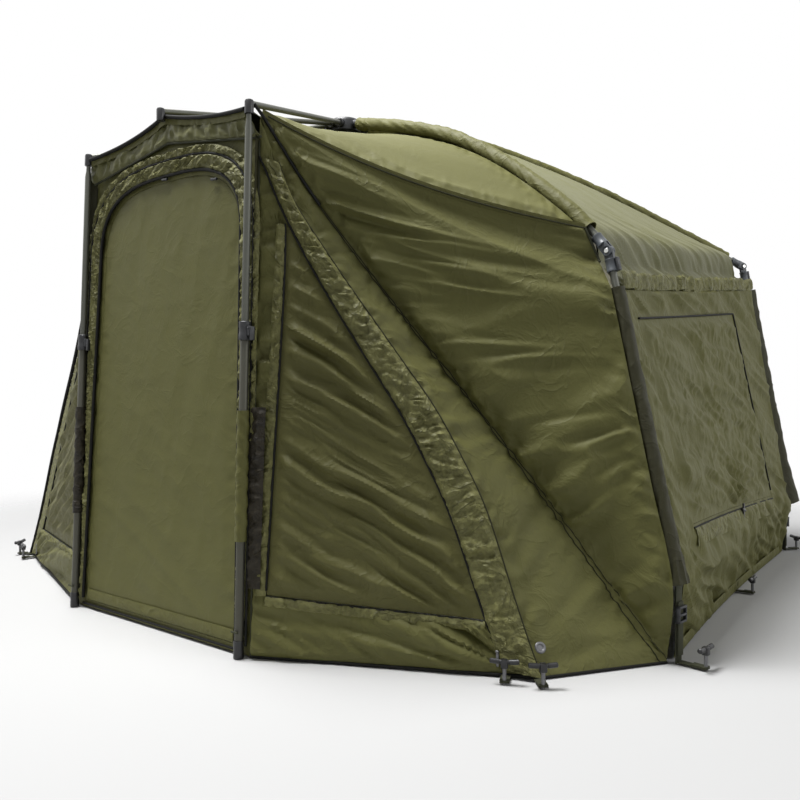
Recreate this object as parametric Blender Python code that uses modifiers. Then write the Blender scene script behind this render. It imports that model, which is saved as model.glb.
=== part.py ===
"""A bivvy tent: a hub carries three peak ribs and four jointed main ribs, and a cloth shelter hangs from them.

X runs across the door, Y from the door to the back, and Z up.  Lengths are in metres.  The model is built
with its origin midway between the feet of the storm poles, and is then moved until its footprint's centre is
the origin.
"""

import math

import bmesh
import bpy
from mathutils import Matrix, Vector
from mathutils.geometry import interpolate_bezier

# Driving dimensions of the shelter
HUB_HEIGHT = 1.575
HUB_BACK = 0.800
POLE_SPREAD = 0.378
PEAK_SPREAD = 0.368
PEAK_FRONT = 0.046
PEAK_HEIGHT = 1.365
PEAK_CENTRE_HEIGHT = 1.425
WALL_FOOT_FRONT = 0.020
WALL_PEAK_FRONT = 0.080
WALL_HALF_WIDTH = 0.398
WALL_HEIGHT = 1.300
WALL_CENTRE_HEIGHT = 1.362
RIGHT_WING_SPREAD = 1.020
RIGHT_WING_FRONT = 0.325
LEFT_WING_SPREAD = 1.235
LEFT_WING_FRONT = 0.305
HEM_LIFT = 0.003
CLOTH = 0.003
CLEARANCE = 0.0004
SEAM_GAP = 0.003
WALL_GAP = 0.0018
CHORD_GAP = 0.0024
GORE_GAP = 0.0050

# Front ribs and legs, measured outwards from the hub's axis
FRONT_BEARING = math.radians(-7.8)
FRONT_ELBOW_REACH = 1.050
FRONT_ELBOW_HEIGHT = 1.010
FRONT_FOOT_REACH = 1.287
FRONT_ROOF_GAP = 0.0015
FRONT_LEG_GAP = 0.0030
# Along the rib from the hub to the elbow: shares of the reach, and of the drop
FRONT_RIB_SHARES = ((0.228, 0.112), (0.449, 0.257), (0.645, 0.458), (0.820, 0.687), (0.922, 0.841))

# Rear ribs and legs
REAR_BEARING = math.radians(53.5)
REAR_ELBOW_REACH = 1.625
REAR_ELBOW_HEIGHT = 1.155
REAR_FOOT_REACH = 1.867
REAR_ROOF_GAP = 0.0021
REAR_LEG_GAP = 0.0025
REAR_RIB_SHARES = ((0.189, 0.012), (0.337, 0.107), (0.597, 0.395), (0.800, 0.690), (0.917, 0.865))

# Tubes and sleeves
RIB_RADIUS = 0.0095
PEAK_RIB_RADIUS = 0.0080
SLEEVE_RADIUS = 0.022
SLEEVE_WALL = 0.0025
BEND_START = 0.030
RIB_STEPS = 11
FINE_STEPS = 12
TUBE_SIDES = 12
SMALL_SIDES = 10

# Hub
HUB_RADIUS = 0.055
HUB_THICKNESS = 0.046
HUB_SOCKET_RADIUS = 0.014
HUB_SOCKET_REACH = 0.078
HUB_BUTTON_RADIUS = 0.022
HUB_BUTTON_HEIGHT = 0.007

# Elbows: distances are along the rib or the leg from the pivot
BARREL_START = 0.022
BARREL_END = 0.056
BARREL_RADIUS = 0.0150
TUBE_SEAT = 0.034
KNUCKLE_ROUND = 0.0135
ARM_HALF_WIDTH = 0.0130
NOSE_STEP = 0.0006
TONGUE_THICKNESS = 0.010
EAR_THICKNESS = 0.005
PIN_RADIUS = 0.004
SLEEVE_REST = 0.086
LEVER_LENGTH = 0.032
LEVER_DEPTH = 0.008
LEVER_WIDTH = 0.012

# Legs and straps
LEG_SLEEVE_TOP = 0.100
POCKET_HEIGHT = 0.190
POCKET_FLOOR = 0.004
SLEEVE_FLARE = 0.003
STRAP_WIDTH = 0.028
STRAP_THICKNESS = 0.004

# Storm poles
POLE_RADIUS = 0.0110
POLE_WALL = 0.0012
POLE_INNER_RADIUS = 0.0092
CLAMP_HEIGHT = 0.790
CLAMP_LENGTH = 0.046
CLAMP_RADIUS = 0.0150
CLAMP_LIP = 0.012
CLAMP_LEVER_REACH = 0.022
CLAMP_LEVER_WIDTH = 0.010
POLE_TRAVEL = 0.400
POLE_OVERLAP = 0.200
FOOT_RADIUS = 0.0130
FOOT_LENGTH = 0.022
SPIGOT_RADIUS = 0.0040
SPIGOT_LENGTH = 0.020
TIP_RADIUS = 0.0115
TIP_HEIGHT = 0.026
TIP_CROWN = 0.010

# Cloth: where its corners lie, and how far it sags between them
PANEL_START = 0.100
CORNER_SHARE = 0.050
FRONT_HEM_REACH = 1.222
FRONT_HEM_SPACING = 0.020
REAR_HEM_REACH = 1.800
ROOF_SAG = 0.022
WALL_SAG = 0.020
FOOT_SEAM_SAG = 0.080
GORE_SAG = 0.060
# How far the seam between wing and gore bows sideways, in shares of its length, from the peak to the hem
WING_SEAM_SHARES = (
    (0.00, 0.000),
    (0.14, -0.022),
    (0.29, -0.001),
    (0.44, 0.023),
    (0.58, 0.046),
    (0.74, 0.047),
    (0.87, 0.022),
    (1.00, 0.000),
)
CHORD_DEPTH = 0.012
PEAK_SAG = 0.012
PEAK_LIP = 0.022
CLOTH_STEPS = 10
REAR_COLUMNS = 8
PEAK_COLUMNS = 8
RING_STEPS = 2
HEM_STEPS = 3

# Door
DOOR_FOOT_HALF_WIDTH = 0.339
DOOR_HALF_WIDTH = 0.305
DOOR_SILL = 0.024
DOOR_SPRING_HEIGHT = 1.030
DOOR_TOP = 1.238
DOOR_ARCH_POWER = 0.67
DOOR_FOLD = 0.007
DOOR_FOLD_LENGTH = 0.260
DOOR_ARCH_END = math.radians(82.0)
DOOR_SIDE_ROWS = 8
DOOR_ARCH_ROWS = 7
DOOR_COLUMNS = 10
OPENING_CLEARANCE = 0.0010
WING_OPENING_CLEARANCE = 0.0014
WRAP_BOTTOM = 0.285
WRAP_TOP = 0.605
WRAP_RADIUS = 0.0185
WRAP_BORE = 0.0135
WRAP_EDGE = 0.004

# Covers: corners as shares of the wing's foot and of its height, and as shares across and down the side wall
WING_COVER_SHARES = ((0.110, 0.208), (0.123, 0.208), (0.817, 0.918), (0.055, 0.888))
SIDE_COVER_SHARES = ((0.060, 0.080), (0.780, 0.078), (0.830, 0.690), (0.130, 0.640))
COVER_FOLD = 0.009
COVER_FOLD_LENGTH = 0.170
# Folds die out over this share of a side, and a second wave of this pitch and turn makes them uneven
FOLD_BORDER = 0.25
FOLD_OVERTONE = 1.7
FOLD_SHIFT = 1.0

# Pegs
PEG_RADIUS = 0.0045
PEG_HEIGHT = 0.052
PEG_BAR_RADIUS = 0.0065
PEG_BAR_LENGTH = 0.066
PEG_OFFSET = 0.055
FOOT_PEG_OFFSET = 0.024
LOOP_WIDTH = 0.022
LOOP_THICKNESS = 0.003
LOOP_HEIGHT = 0.004
SIDE_LOOP_GAP = 0.0015

# Derived values shared by several pieces
BORE_RADIUS = RIB_RADIUS + CLEARANCE * 2
EAR_INNER = TONGUE_THICKNESS / 2 + CLEARANCE
EAR_OUTER = EAR_INNER + EAR_THICKNESS
PEAK_DROP = PEAK_RIB_RADIUS + CLEARANCE + CLEARANCE
INSIDE = Vector((0.0, HUB_BACK, HUB_HEIGHT / 2))
HUB = Vector((0.0, HUB_BACK, HUB_HEIGHT))

COLOURS = {
    "cloth": ((0.130, 0.125, 0.065), 0.75, 0.0),
    "dark_cloth": ((0.075, 0.070, 0.035), 0.80, 0.0),
    "tube": ((0.300, 0.300, 0.290), 0.35, 0.9),
    "black_plastic": ((0.012, 0.012, 0.014), 0.45, 0.0),
    "peg": ((0.160, 0.160, 0.165), 0.40, 0.3),
}

PARTS = "bivvy_tent"
CUTTERS = "cutters"


def clear_scene():
    for old in list(bpy.data.objects):
        bpy.data.objects.remove(old, do_unlink=True)
    for name in (PARTS, CUTTERS):
        bpy.context.scene.collection.children.link(bpy.data.collections.new(name))


def material(key):
    if key in bpy.data.materials:
        return bpy.data.materials[key]
    colour, roughness, metallic = COLOURS[key]
    made = bpy.data.materials.new(key)
    made.use_nodes = True
    shader = made.node_tree.nodes["Principled BSDF"]
    shader.inputs["Base Color"].default_value = (*colour, 1.0)
    shader.inputs["Roughness"].default_value = roughness
    shader.inputs["Metallic"].default_value = metallic
    made.diffuse_color = (*colour, 1.0)
    return made


def add(name, data, finish=None):
    """An object for the data: a part if it has a finish, and otherwise a cutter."""
    made = bpy.data.objects.new(name, data)
    bpy.data.collections[PARTS if finish else CUTTERS].objects.link(made)
    if finish:
        dress(made, finish)
    else:
        made.hide_render = True
        made.display_type = "WIRE"
    return made


def dress(made, finish):
    made.data.materials.clear()
    made.data.materials.append(material(finish))


def turned_to(axis, across=None):
    """A rotation whose Z is the axis and whose Y lies along across, as far as it can."""
    up = axis.normalized()
    side = across if across else up.orthogonal()
    forward = (side - up * side.dot(up)).normalized()
    return Matrix((forward.cross(up), forward, up)).transposed().to_4x4()


def cylinder(name, start, end, radius, finish=None, sides=TUBE_SIDES):
    body = bmesh.new()
    bmesh.ops.create_cone(
        body,
        cap_ends=True,
        segments=sides,
        radius1=radius,
        radius2=radius,
        depth=(end - start).length,
    )
    place = Matrix.Translation((start + end) / 2) @ turned_to(end - start)
    return from_bmesh(name, body, place, finish)


def box(name, low, high, finish=None, place=None):
    body = bmesh.new()
    bmesh.ops.create_cube(body, size=1.0)
    size = Vector(high) - Vector(low)
    bmesh.ops.scale(body, vec=size, verts=body.verts)
    bmesh.ops.translate(body, vec=(Vector(low) + Vector(high)) / 2, verts=body.verts)
    return from_bmesh(name, body, place or Matrix.Identity(4), finish)


def from_bmesh(name, body, place, finish):
    bmesh.ops.transform(body, matrix=place, verts=body.verts)
    mesh = bpy.data.meshes.new(name)
    body.to_mesh(mesh)
    body.free()
    return add(name, mesh, finish)


def evaluated_mesh(source):
    graph = bpy.context.evaluated_depsgraph_get()
    mesh = bpy.data.meshes.new_from_object(source.evaluated_get(graph))
    mesh.transform(source.matrix_world)
    return mesh


def applied(source, finish=None):
    """The same object with its modifiers worked into its mesh and its caps welded."""
    name = source.name
    mesh = evaluated_mesh(source)
    bpy.data.objects.remove(source, do_unlink=True)
    body = bmesh.new()
    body.from_mesh(mesh)
    bmesh.ops.remove_doubles(body, verts=body.verts, dist=CLEARANCE / 10)
    body.to_mesh(mesh)
    body.free()
    made = add(name, mesh, finish)
    made.name = name
    return made


def combine(target, others, operation):
    """Joins the other solids to the target, or cuts them from it, one after the other."""
    for other in others:
        step = target.modifiers.new(operation.lower(), "BOOLEAN")
        step.operation = operation
        step.solver = "EXACT"
        step.object = other
        if other.users_collection[0].name == PARTS:
            bpy.data.collections[PARTS].objects.unlink(other)
            bpy.data.collections[CUTTERS].objects.link(other)
        other.hide_render = True
        other.display_type = "WIRE"
    return target


def tube(name, points, radius, finish=None, capped=True):
    curve = bpy.data.curves.new(name, "CURVE")
    curve.dimensions = "3D"
    curve.bevel_depth = radius
    curve.bevel_resolution = 2
    curve.use_fill_caps = capped
    spline = curve.splines.new("POLY")
    spline.points.add(len(points) - 1)
    for slot, point in zip(spline.points, points):
        slot.co = (*point, 1.0)
    return add(name, curve, finish)


def turned(name, profile, start, axis, finish=None):
    """A profile of radius and distance along the axis, listed from the top down its outer side, and turned."""
    mesh = bpy.data.meshes.new(name)
    points = [(radius, 0.0, along) for radius, along in profile]
    mesh.from_pydata(points, [(i, i + 1) for i in range(len(points) - 1)], [])
    made = add(name, mesh, finish)
    made.matrix_world = Matrix.Translation(start) @ turned_to(axis)
    screw = made.modifiers.new("turn", "SCREW")
    screw.steps = TUBE_SIDES
    screw.render_steps = TUBE_SIDES
    screw.use_merge_vertices = True
    screw.merge_threshold = CLEARANCE / 10
    return made


def sheet(name, grids, finish):
    """A cloth solid: grids of points that share edges are its outer side, and it thickens inwards."""
    body = bmesh.new()
    for rows in grids:
        grid = [[body.verts.new(point) for point in row] for row in rows]
        for upper, lower in zip(grid, grid[1:]):
            for i in range(len(upper) - 1):
                body.faces.new((upper[i], upper[i + 1], lower[i + 1], lower[i]))
    bmesh.ops.remove_doubles(body, verts=body.verts, dist=CLEARANCE / 10)
    bmesh.ops.recalc_face_normals(body, faces=body.faces)
    body.normal_update()
    outward = 0.0
    for face in body.faces:
        outward += face.normal.dot(face.calc_center_median() - INSIDE) * face.calc_area()
    if outward < 0:
        bmesh.ops.reverse_faces(body, faces=body.faces)
    made = from_bmesh(name, body, Matrix.Identity(4), finish)
    wall = made.modifiers.new("thickness", "SOLIDIFY")
    wall.thickness = CLOTH
    wall.offset = -1.0
    wall.use_even_offset = True
    return made


def mirrored(source, name, finish):
    """The other hand of a finished solid, as an object of its own."""
    mesh = evaluated_mesh(source)
    mesh.transform(Matrix.Scale(-1.0, 4, Vector((1.0, 0.0, 0.0))))
    mesh.flip_normals()
    return add(name, mesh, finish)


def both_sides(source, finish):
    """The mirror image of a right-hand piece: its name says left where the first says right."""
    return mirrored(source, source.name.replace("right", "left"), finish)


def smooth_through(points, leaving, arriving, steps):
    """Points spread evenly along one smooth curve through the given points, with a given way at each end."""
    ways = [leaving]
    for before, after in zip(points, points[2:]):
        ways.append((after - before).normalized())
    ways.append(arriving)
    fine = []
    for i in range(len(points) - 1):
        first, second = points[i], points[i + 1]
        pull = (second - first).length / 3
        after, before = first + ways[i] * pull, second - ways[i + 1] * pull
        fine += interpolate_bezier(first, after, before, second, FINE_STEPS)[:-1]
    fine.append(points[-1])
    return spaced(fine, steps)


def spaced(line, steps):
    """The line again, as points at equal distances along it."""
    lengths = [0.0]
    for a, b in zip(line, line[1:]):
        lengths.append(lengths[-1] + (b - a).length)
    found, k = [], 0
    for i in range(steps + 1):
        wanted = lengths[-1] * i / steps
        while k < len(line) - 2 and lengths[k + 1] < wanted:
            k += 1
        span = lengths[k + 1] - lengths[k]
        found.append(line[k].lerp(line[k + 1], (wanted - lengths[k]) / span))
    return found


class Rib:
    """The line of one right-hand main rib and its leg, in the upright plane through the hub's axis."""

    def __init__(self, bearing, elbow_reach, elbow_height, foot_reach, shares, hem_reach, roof_gap, leg_gap):
        self.out = Vector((math.cos(bearing), math.sin(bearing), 0.0))
        self.side = Vector((-self.out.y, self.out.x, 0.0))
        self.pivot = self.at(elbow_reach, elbow_height)
        self.foot = self.at(foot_reach, 0.0)
        self.hem = self.at(hem_reach, HEM_LIFT)
        reach = elbow_reach - HUB_RADIUS
        drop = HUB_HEIGHT - elbow_height
        self.bends = [self.at(HUB_RADIUS + reach * along, HUB_HEIGHT - drop * down) for along, down in shares]
        self.leaving = (self.bends[0] - self.at(HUB_RADIUS, HUB_HEIGHT)).normalized()
        self.arriving = (self.pivot - self.bends[-1]).normalized()
        self.down = (self.foot - self.pivot).normalized()
        self.roof_offset = SLEEVE_RADIUS + CLEARANCE + roof_gap
        self.leg_offset = SLEEVE_RADIUS + CLEARANCE + leg_gap

    def at(self, reach, height):
        return Vector((0.0, HUB_BACK, height)) + self.out * reach

    def upper(self, from_reach, before_pivot):
        """The rib's centreline, from a reach near the hub to a distance before the elbow's pivot."""
        start = self.at(HUB_RADIUS, HUB_HEIGHT) + self.leaving * (from_reach - HUB_RADIUS)
        bent = start + self.leaving * BEND_START
        straight = self.pivot - self.arriving * SLEEVE_REST
        bends = [bent, *self.bends[:-1], straight]
        line = [start] + smooth_through(bends, self.leaving, self.arriving, RIB_STEPS)
        if before_pivot < SLEEVE_REST:
            line.append(self.pivot - self.arriving * before_pivot)
        return line

    def on_leg(self, after_pivot):
        return self.pivot + self.down * after_pivot

    def leg_at(self, height):
        return self.pivot + self.down * ((self.pivot.z - height) / -self.down.z)

    def cloth_edge(self, hand):
        """The edge of the cloth on one side of this rib, from the hub down to the hem."""
        aside = self.side * (hand * self.roof_offset)
        rib = self.upper(PANEL_START, SLEEVE_REST)
        edge = [point + aside for point in rib[:1] + rib[3::2]]
        if len(rib) % 2:
            edge.append(rib[-1] + aside)
        top = self.on_leg(LEG_SLEEVE_TOP)
        middle = (rib[-1] + top) / 2
        inward = (INSIDE - middle).normalized()
        edge.append(middle + inward * CHORD_DEPTH + self.side * (hand * CHORD_GAP))
        pocket = self.leg_at(POCKET_HEIGHT)
        legs = []
        for i in range(HEM_STEPS + 1):
            aside = self.side * (hand * (self.leg_offset + SLEEVE_FLARE * i / HEM_STEPS))
            legs.append(top.lerp(pocket, i / HEM_STEPS) + aside)
        return edge + legs + [self.hem + self.side * (hand * FRONT_HEM_SPACING)]


FRONT = Rib(
    FRONT_BEARING,
    FRONT_ELBOW_REACH,
    FRONT_ELBOW_HEIGHT,
    FRONT_FOOT_REACH,
    FRONT_RIB_SHARES,
    FRONT_HEM_REACH,
    FRONT_ROOF_GAP,
    FRONT_LEG_GAP,
)
REAR = Rib(
    REAR_BEARING,
    REAR_ELBOW_REACH,
    REAR_ELBOW_HEIGHT,
    REAR_FOOT_REACH,
    REAR_RIB_SHARES,
    REAR_HEM_REACH,
    REAR_ROOF_GAP,
    REAR_LEG_GAP,
)
PEAK = Vector((PEAK_SPREAD, PEAK_FRONT, PEAK_HEIGHT))
PEAK_CENTRE = Vector((0.0, PEAK_FRONT, PEAK_CENTRE_HEIGHT))
POLE_FOOT = Vector((POLE_SPREAD, 0.0, 0.0))
POLE_AXIS = (PEAK - POLE_FOOT).normalized()


def flipped(point):
    return Vector((-point.x, point.y, point.z))


def hub_face(direction, reach=HUB_SOCKET_REACH):
    """The point on the hub's socket where a rib that leaves in this direction begins."""
    level = Vector((direction.x, direction.y, 0.0)).normalized()
    return HUB + level * HUB_RADIUS + direction * (reach - HUB_RADIUS)


def peak_direction(tip):
    level = Vector((tip.x - HUB.x, tip.y - HUB.y, 0.0)).normalized()
    return (tip - (HUB + level * HUB_RADIUS)).normalized()


def build_hub():
    """A round block with a button on top and one socket for each of the seven ribs."""
    half = HUB_THICKNESS / 2
    hub = turned(
        "hub_block",
        (
            (0.0, half + HUB_BUTTON_HEIGHT),
            (HUB_BUTTON_RADIUS, half + HUB_BUTTON_HEIGHT),
            (HUB_BUTTON_RADIUS, half),
            (HUB_RADIUS - HUB_BUTTON_HEIGHT, half),
            (HUB_RADIUS, half - HUB_BUTTON_HEIGHT),
            (HUB_RADIUS, -half),
            (0.0, -half),
        ),
        HUB,
        Vector((0.0, 0.0, 1.0)),
        "black_plastic",
    )
    ways = [FRONT.leaving, REAR.leaving, peak_direction(PEAK)]
    ways += [flipped(way) for way in ways]
    ways.append(peak_direction(PEAK_CENTRE))
    sockets = []
    for i, way in enumerate(ways):
        level = Vector((way.x, way.y, 0.0)).normalized()
        inner = HUB + level * HUB_RADIUS - way * HUB_SOCKET_RADIUS
        outer = hub_face(way)
        sockets.append(cylinder(f"hub_socket_{i}", inner, outer, HUB_SOCKET_RADIUS, sides=SMALL_SIDES))
    combine(hub, sockets, "UNION")


def build_peak_ribs():
    """Three straight tubes from the hub; the outer two end in a socket for a storm pole's spigot."""
    for name, tip in (("right", PEAK), ("centre", PEAK_CENTRE)):
        way = peak_direction(tip)
        start = hub_face(way, HUB_SOCKET_REACH + CLEARANCE)
        rib = cylinder(f"peak_rib_{name}", start, tip, PEAK_RIB_RADIUS, "tube")
        axis = POLE_AXIS if name == "right" else Vector((0.0, 0.0, 1.0))
        cap = cylinder("cap_" + name, tip - axis * TIP_HEIGHT, tip + axis * TIP_CROWN, TIP_RADIUS)
        combine(rib, [cap], "UNION")
        if name == "right":
            mouth = tip - axis * TIP_HEIGHT * 2
            inner = tip - axis * (TIP_HEIGHT - SPIGOT_LENGTH - CLEARANCE)
            bore = cylinder("spigot_bore", mouth, inner, SPIGOT_RADIUS + CLEARANCE)
            combine(rib, [bore], "DIFFERENCE")
            both_sides(rib, "tube")


def build_main_ribs():
    for place, rib in (("front", FRONT), ("rear", REAR)):
        line = rib.upper(HUB_SOCKET_REACH + CLEARANCE, TUBE_SEAT + CLEARANCE)
        pipe = applied(tube(f"rib_{place}_right", line, RIB_RADIUS), "tube")
        both_sides(pipe, "tube")
        line = rib.upper(HUB_SOCKET_REACH + CLEARANCE, SLEEVE_REST)
        sleeve = applied(tube(f"rib_sleeve_{place}_right", line, SLEEVE_RADIUS, capped=False), "dark_cloth")
        wall = sleeve.modifiers.new("wall", "SOLIDIFY")
        wall.thickness = SLEEVE_WALL
        wall.offset = -1.0
        both_sides(sleeve, "dark_cloth")


def build_elbows():
    """A socket with two ears on each rib, a knuckle with tongue and pin on each leg, and a lock lever."""
    for place, rib in (("front", FRONT), ("rear", REAR)):
        hinge = rib.side
        above = Matrix.Translation(rib.pivot) @ turned_to(-rib.arriving, hinge)
        below = Matrix.Translation(rib.pivot) @ turned_to(rib.down, hinge)
        ear = (EAR_OUTER + EAR_INNER) / 2

        socket = barrel(f"elbow_socket_{place}_right", above)
        ears = []
        for hand in (-1.0, 1.0):
            low, high = sorted((hand * EAR_INNER, hand * EAR_OUTER))
            arm = box(
                f"ear_{place}_{hand:+.0f}",
                (-ARM_HALF_WIDTH, low, 0.0),
                (ARM_HALF_WIDTH, high, BARREL_START + EAR_THICKNESS),
                place=above,
            )
            thin = EAR_THICKNESS - NOSE_STEP
            nose = disc(f"ear_nose_{place}_{hand:+.0f}", above, hand * ear, thin, KNUCKLE_ROUND)
            ears += [arm, nose]
        combine(socket, ears, "UNION")
        hole = disc(f"pin_hole_{place}", above, 0.0, EAR_OUTER * 3, PIN_RADIUS + CLEARANCE)
        combine(socket, [hole, tube_bore(f"socket_bore_{place}", above)], "DIFFERENCE")
        both_sides(socket, "black_plastic")

        knuckle = barrel(f"elbow_knuckle_{place}_right", below)
        half = TONGUE_THICKNESS / 2
        arm = box(
            f"tongue_{place}",
            (-ARM_HALF_WIDTH, -half, 0.0),
            (ARM_HALF_WIDTH, half, BARREL_START + EAR_THICKNESS),
            place=below,
        )
        nose = disc(f"tongue_nose_{place}", below, 0.0, TONGUE_THICKNESS - NOSE_STEP, KNUCKLE_ROUND)
        pin = disc(f"pin_{place}", below, 0.0, EAR_OUTER * 2, PIN_RADIUS)
        combine(knuckle, [arm, nose, pin], "UNION")
        combine(knuckle, [tube_bore(f"knuckle_bore_{place}", below)], "DIFFERENCE")
        both_sides(knuckle, "black_plastic")
        build_lever(place, below)


def barrel(name, frame):
    start = frame @ Vector((0.0, 0.0, BARREL_START))
    end = frame @ Vector((0.0, 0.0, BARREL_END))
    return cylinder(name, start, end, BARREL_RADIUS, "black_plastic")


def disc(name, frame, middle, thickness, radius):
    """A short cylinder across the elbow, along its hinge."""
    start = frame @ Vector((0.0, middle - thickness / 2, 0.0))
    end = frame @ Vector((0.0, middle + thickness / 2, 0.0))
    return cylinder(name, start, end, radius, sides=SMALL_SIDES)


def tube_bore(name, frame):
    start = frame @ Vector((0.0, 0.0, TUBE_SEAT))
    end = frame @ Vector((0.0, 0.0, BARREL_END + BARREL_RADIUS))
    return cylinder(name, start, end, BORE_RADIUS)


def build_lever(place, frame):
    """A flat lever on the outer side of the knuckle; it turns about its rounded upper end."""
    half = LEVER_DEPTH / 2
    middle = outward_of(frame) * (BARREL_RADIUS + CLEARANCE + half)
    top = BARREL_START + half
    start = frame @ Vector((middle, -LEVER_WIDTH / 2, top))
    end = frame @ Vector((middle, LEVER_WIDTH / 2, top))
    lever = cylinder(f"elbow_lever_{place}_right", start, end, half, "black_plastic", SMALL_SIDES)
    blade = box(
        f"lever_blade_{place}",
        (middle - half, -LEVER_WIDTH / 2, top),
        (middle + half, LEVER_WIDTH / 2, top + LEVER_LENGTH),
        place=frame,
    )
    combine(lever, [blade], "UNION")
    both_sides(lever, "black_plastic")


def outward_of(frame):
    """Whether the frame's own X points away from the hub's axis, as 1, or towards it, as -1."""
    away = frame.translation - HUB
    return 1.0 if (frame.to_3x3() @ Vector((1.0, 0.0, 0.0))).dot(away) > 0 else -1.0


def build_legs():
    """A tube in each knuckle, and the sleeve round it: a closed pocket with a strap down to the ground."""
    for place, rib in (("front", FRONT), ("rear", REAR)):
        pocket = rib.leg_at(POCKET_HEIGHT)
        start = rib.on_leg(TUBE_SEAT + CLEARANCE)
        pipe = cylinder(f"leg_tube_{place}_right", start, pocket, RIB_RADIUS, "tube")
        both_sides(pipe, "tube")
        length = (pocket - rib.on_leg(LEG_SLEEVE_TOP)).length
        floor = -length - CLEARANCE
        inner = SLEEVE_RADIUS - SLEEVE_WALL
        sleeve = turned(
            f"leg_sleeve_{place}_right",
            (
                (0.0, floor),
                (inner, floor),
                (inner, 0.0),
                (SLEEVE_RADIUS, 0.0),
                (SLEEVE_RADIUS, floor / 2),
                (SLEEVE_RADIUS + SLEEVE_FLARE, floor - POCKET_FLOOR),
                (0.0, floor - POCKET_FLOOR),
            ),
            rib.on_leg(LEG_SLEEVE_TOP),
            -rib.down,
            "dark_cloth",
        )
        foot = pocket + rib.down * POCKET_FLOOR / 2
        half = Vector((STRAP_THICKNESS / 2, STRAP_WIDTH / 2, 0.0))
        frame = Matrix.Translation((foot.x, foot.y, 0.0)) @ turned_to(Vector((0.0, 0.0, 1.0)), rib.side)
        strap = box(f"strap_{place}", (-half.x, -half.y, 0.0), (half.x, half.y, foot.z), place=frame)
        combine(sleeve, [strap], "UNION")
        both_sides(sleeve, "dark_cloth")


def build_storm_poles():
    """A lower tube with a foot, an upper tube that slides in it, and the clamp between them."""
    low = -CLAMP_HEIGHT
    depth = POLE_TRAVEL + POLE_OVERLAP + FOOT_LENGTH
    bore = POLE_RADIUS - POLE_WALL
    clamp_at = POLE_FOOT + POLE_AXIS * CLAMP_HEIGHT
    lower = turned(
        "storm_pole_lower_right",
        (
            (0.0, -depth),
            (bore, -depth),
            (bore, 0.0),
            (POLE_RADIUS, 0.0),
            (POLE_RADIUS, low + FOOT_LENGTH * 2),
            (FOOT_RADIUS, low + FOOT_LENGTH * 2),
            (FOOT_RADIUS, low - FOOT_LENGTH),
            (0.0, low - FOOT_LENGTH),
        ),
        clamp_at,
        POLE_AXIS,
        "tube",
    )
    ground = box("ground_cut", (0.0, -POLE_SPREAD, -POLE_SPREAD), (POLE_SPREAD * 2, POLE_SPREAD, 0.0))
    combine(lower, [ground], "DIFFERENCE")
    both_sides(lower, "tube")

    top = PEAK - POLE_AXIS * (TIP_HEIGHT + CLEARANCE)
    bottom = clamp_at - POLE_AXIS * POLE_OVERLAP
    length = (top - bottom).length
    upper = turned(
        "storm_pole_upper_right",
        (
            (0.0, length + SPIGOT_LENGTH),
            (SPIGOT_RADIUS / 2, length + SPIGOT_LENGTH),
            (SPIGOT_RADIUS, length + SPIGOT_LENGTH / 2),
            (SPIGOT_RADIUS, length),
            (POLE_INNER_RADIUS, length),
            (POLE_INNER_RADIUS, 0.0),
            (0.0, 0.0),
        ),
        bottom,
        POLE_AXIS,
        "tube",
    )
    both_sides(upper, "tube")

    shell = turned(
        "pole_clamp_right",
        (
            (POLE_INNER_RADIUS + CLEARANCE, CLEARANCE),
            (POLE_INNER_RADIUS + CLEARANCE, CLAMP_LENGTH - CLAMP_LIP),
            (CLAMP_RADIUS, CLAMP_LENGTH - CLAMP_LIP),
            (CLAMP_RADIUS, -CLAMP_LIP),
            (POLE_RADIUS + CLEARANCE, -CLAMP_LIP),
            (POLE_RADIUS + CLEARANCE, CLEARANCE),
            (POLE_INNER_RADIUS + CLEARANCE, CLEARANCE),
        ),
        clamp_at,
        POLE_AXIS,
        "black_plastic",
    )
    middle = CLAMP_LENGTH / 2 - CLAMP_LIP
    frame = Matrix.Translation(clamp_at) @ turned_to(POLE_AXIS, Vector((1.0, 0.0, 0.0)))
    half = CLAMP_LEVER_WIDTH / 2
    wing = box(
        "clamp_wing",
        (-half, POLE_RADIUS + half / 2, middle - CLAMP_LIP),
        (half, POLE_RADIUS + CLAMP_LEVER_REACH, middle + CLAMP_LIP),
        place=frame,
    )
    combine(shell, [wing], "UNION")
    both_sides(shell, "black_plastic")


def wall_front(height):
    """How far back the front wall stands at a height: it leans back a little."""
    return WALL_FOOT_FRONT + (WALL_PEAK_FRONT - WALL_FOOT_FRONT) * height / PEAK_HEIGHT


def peak_corner():
    height = PEAK_HEIGHT - PEAK_DROP
    return Vector((PEAK_SPREAD, wall_front(height), height))


def fan_rows(edge, sags, bows, columns, start=CORNER_SHARE):
    """Rays from the peak corner to the points of an edge, each sagging inwards and bowed by its own share."""
    corner = peak_corner()
    rows = []
    for point, sag, bow in zip(edge, sags, bows):
        inward = (INSIDE - (corner + point) / 2).normalized()
        sideways = bow_way(corner, point)
        row = []
        for i in range(columns + 1):
            along = start + (1.0 - start) * i / columns
            dip = 4.0 * along * (1.0 - along) * sag
            row.append(corner.lerp(point, along) + inward * dip + sideways * (bow * seam_bow(along)))
        rows.append(row)
    return rows


def bow_way(corner, foot):
    """The way in which the seam between wing and gore bows, as long as the seam: outwards, along the wing."""
    line = foot - corner
    level = Vector((line.x, line.y, 0.0)).normalized()
    return (level - line * (level.dot(line) / line.length_squared)).normalized() * line.length


def seam_bow(along):
    """The bow's share of the seam's length at a share of the way down, smoothly through the table."""
    for (start, first), (end, second) in zip(WING_SEAM_SHARES, WING_SEAM_SHARES[1:]):
        if along <= end:
            share = (along - start) / (end - start)
            return first + (second - first) * share * share * (3.0 - 2.0 * share)
    return WING_SEAM_SHARES[-1][1]


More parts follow.
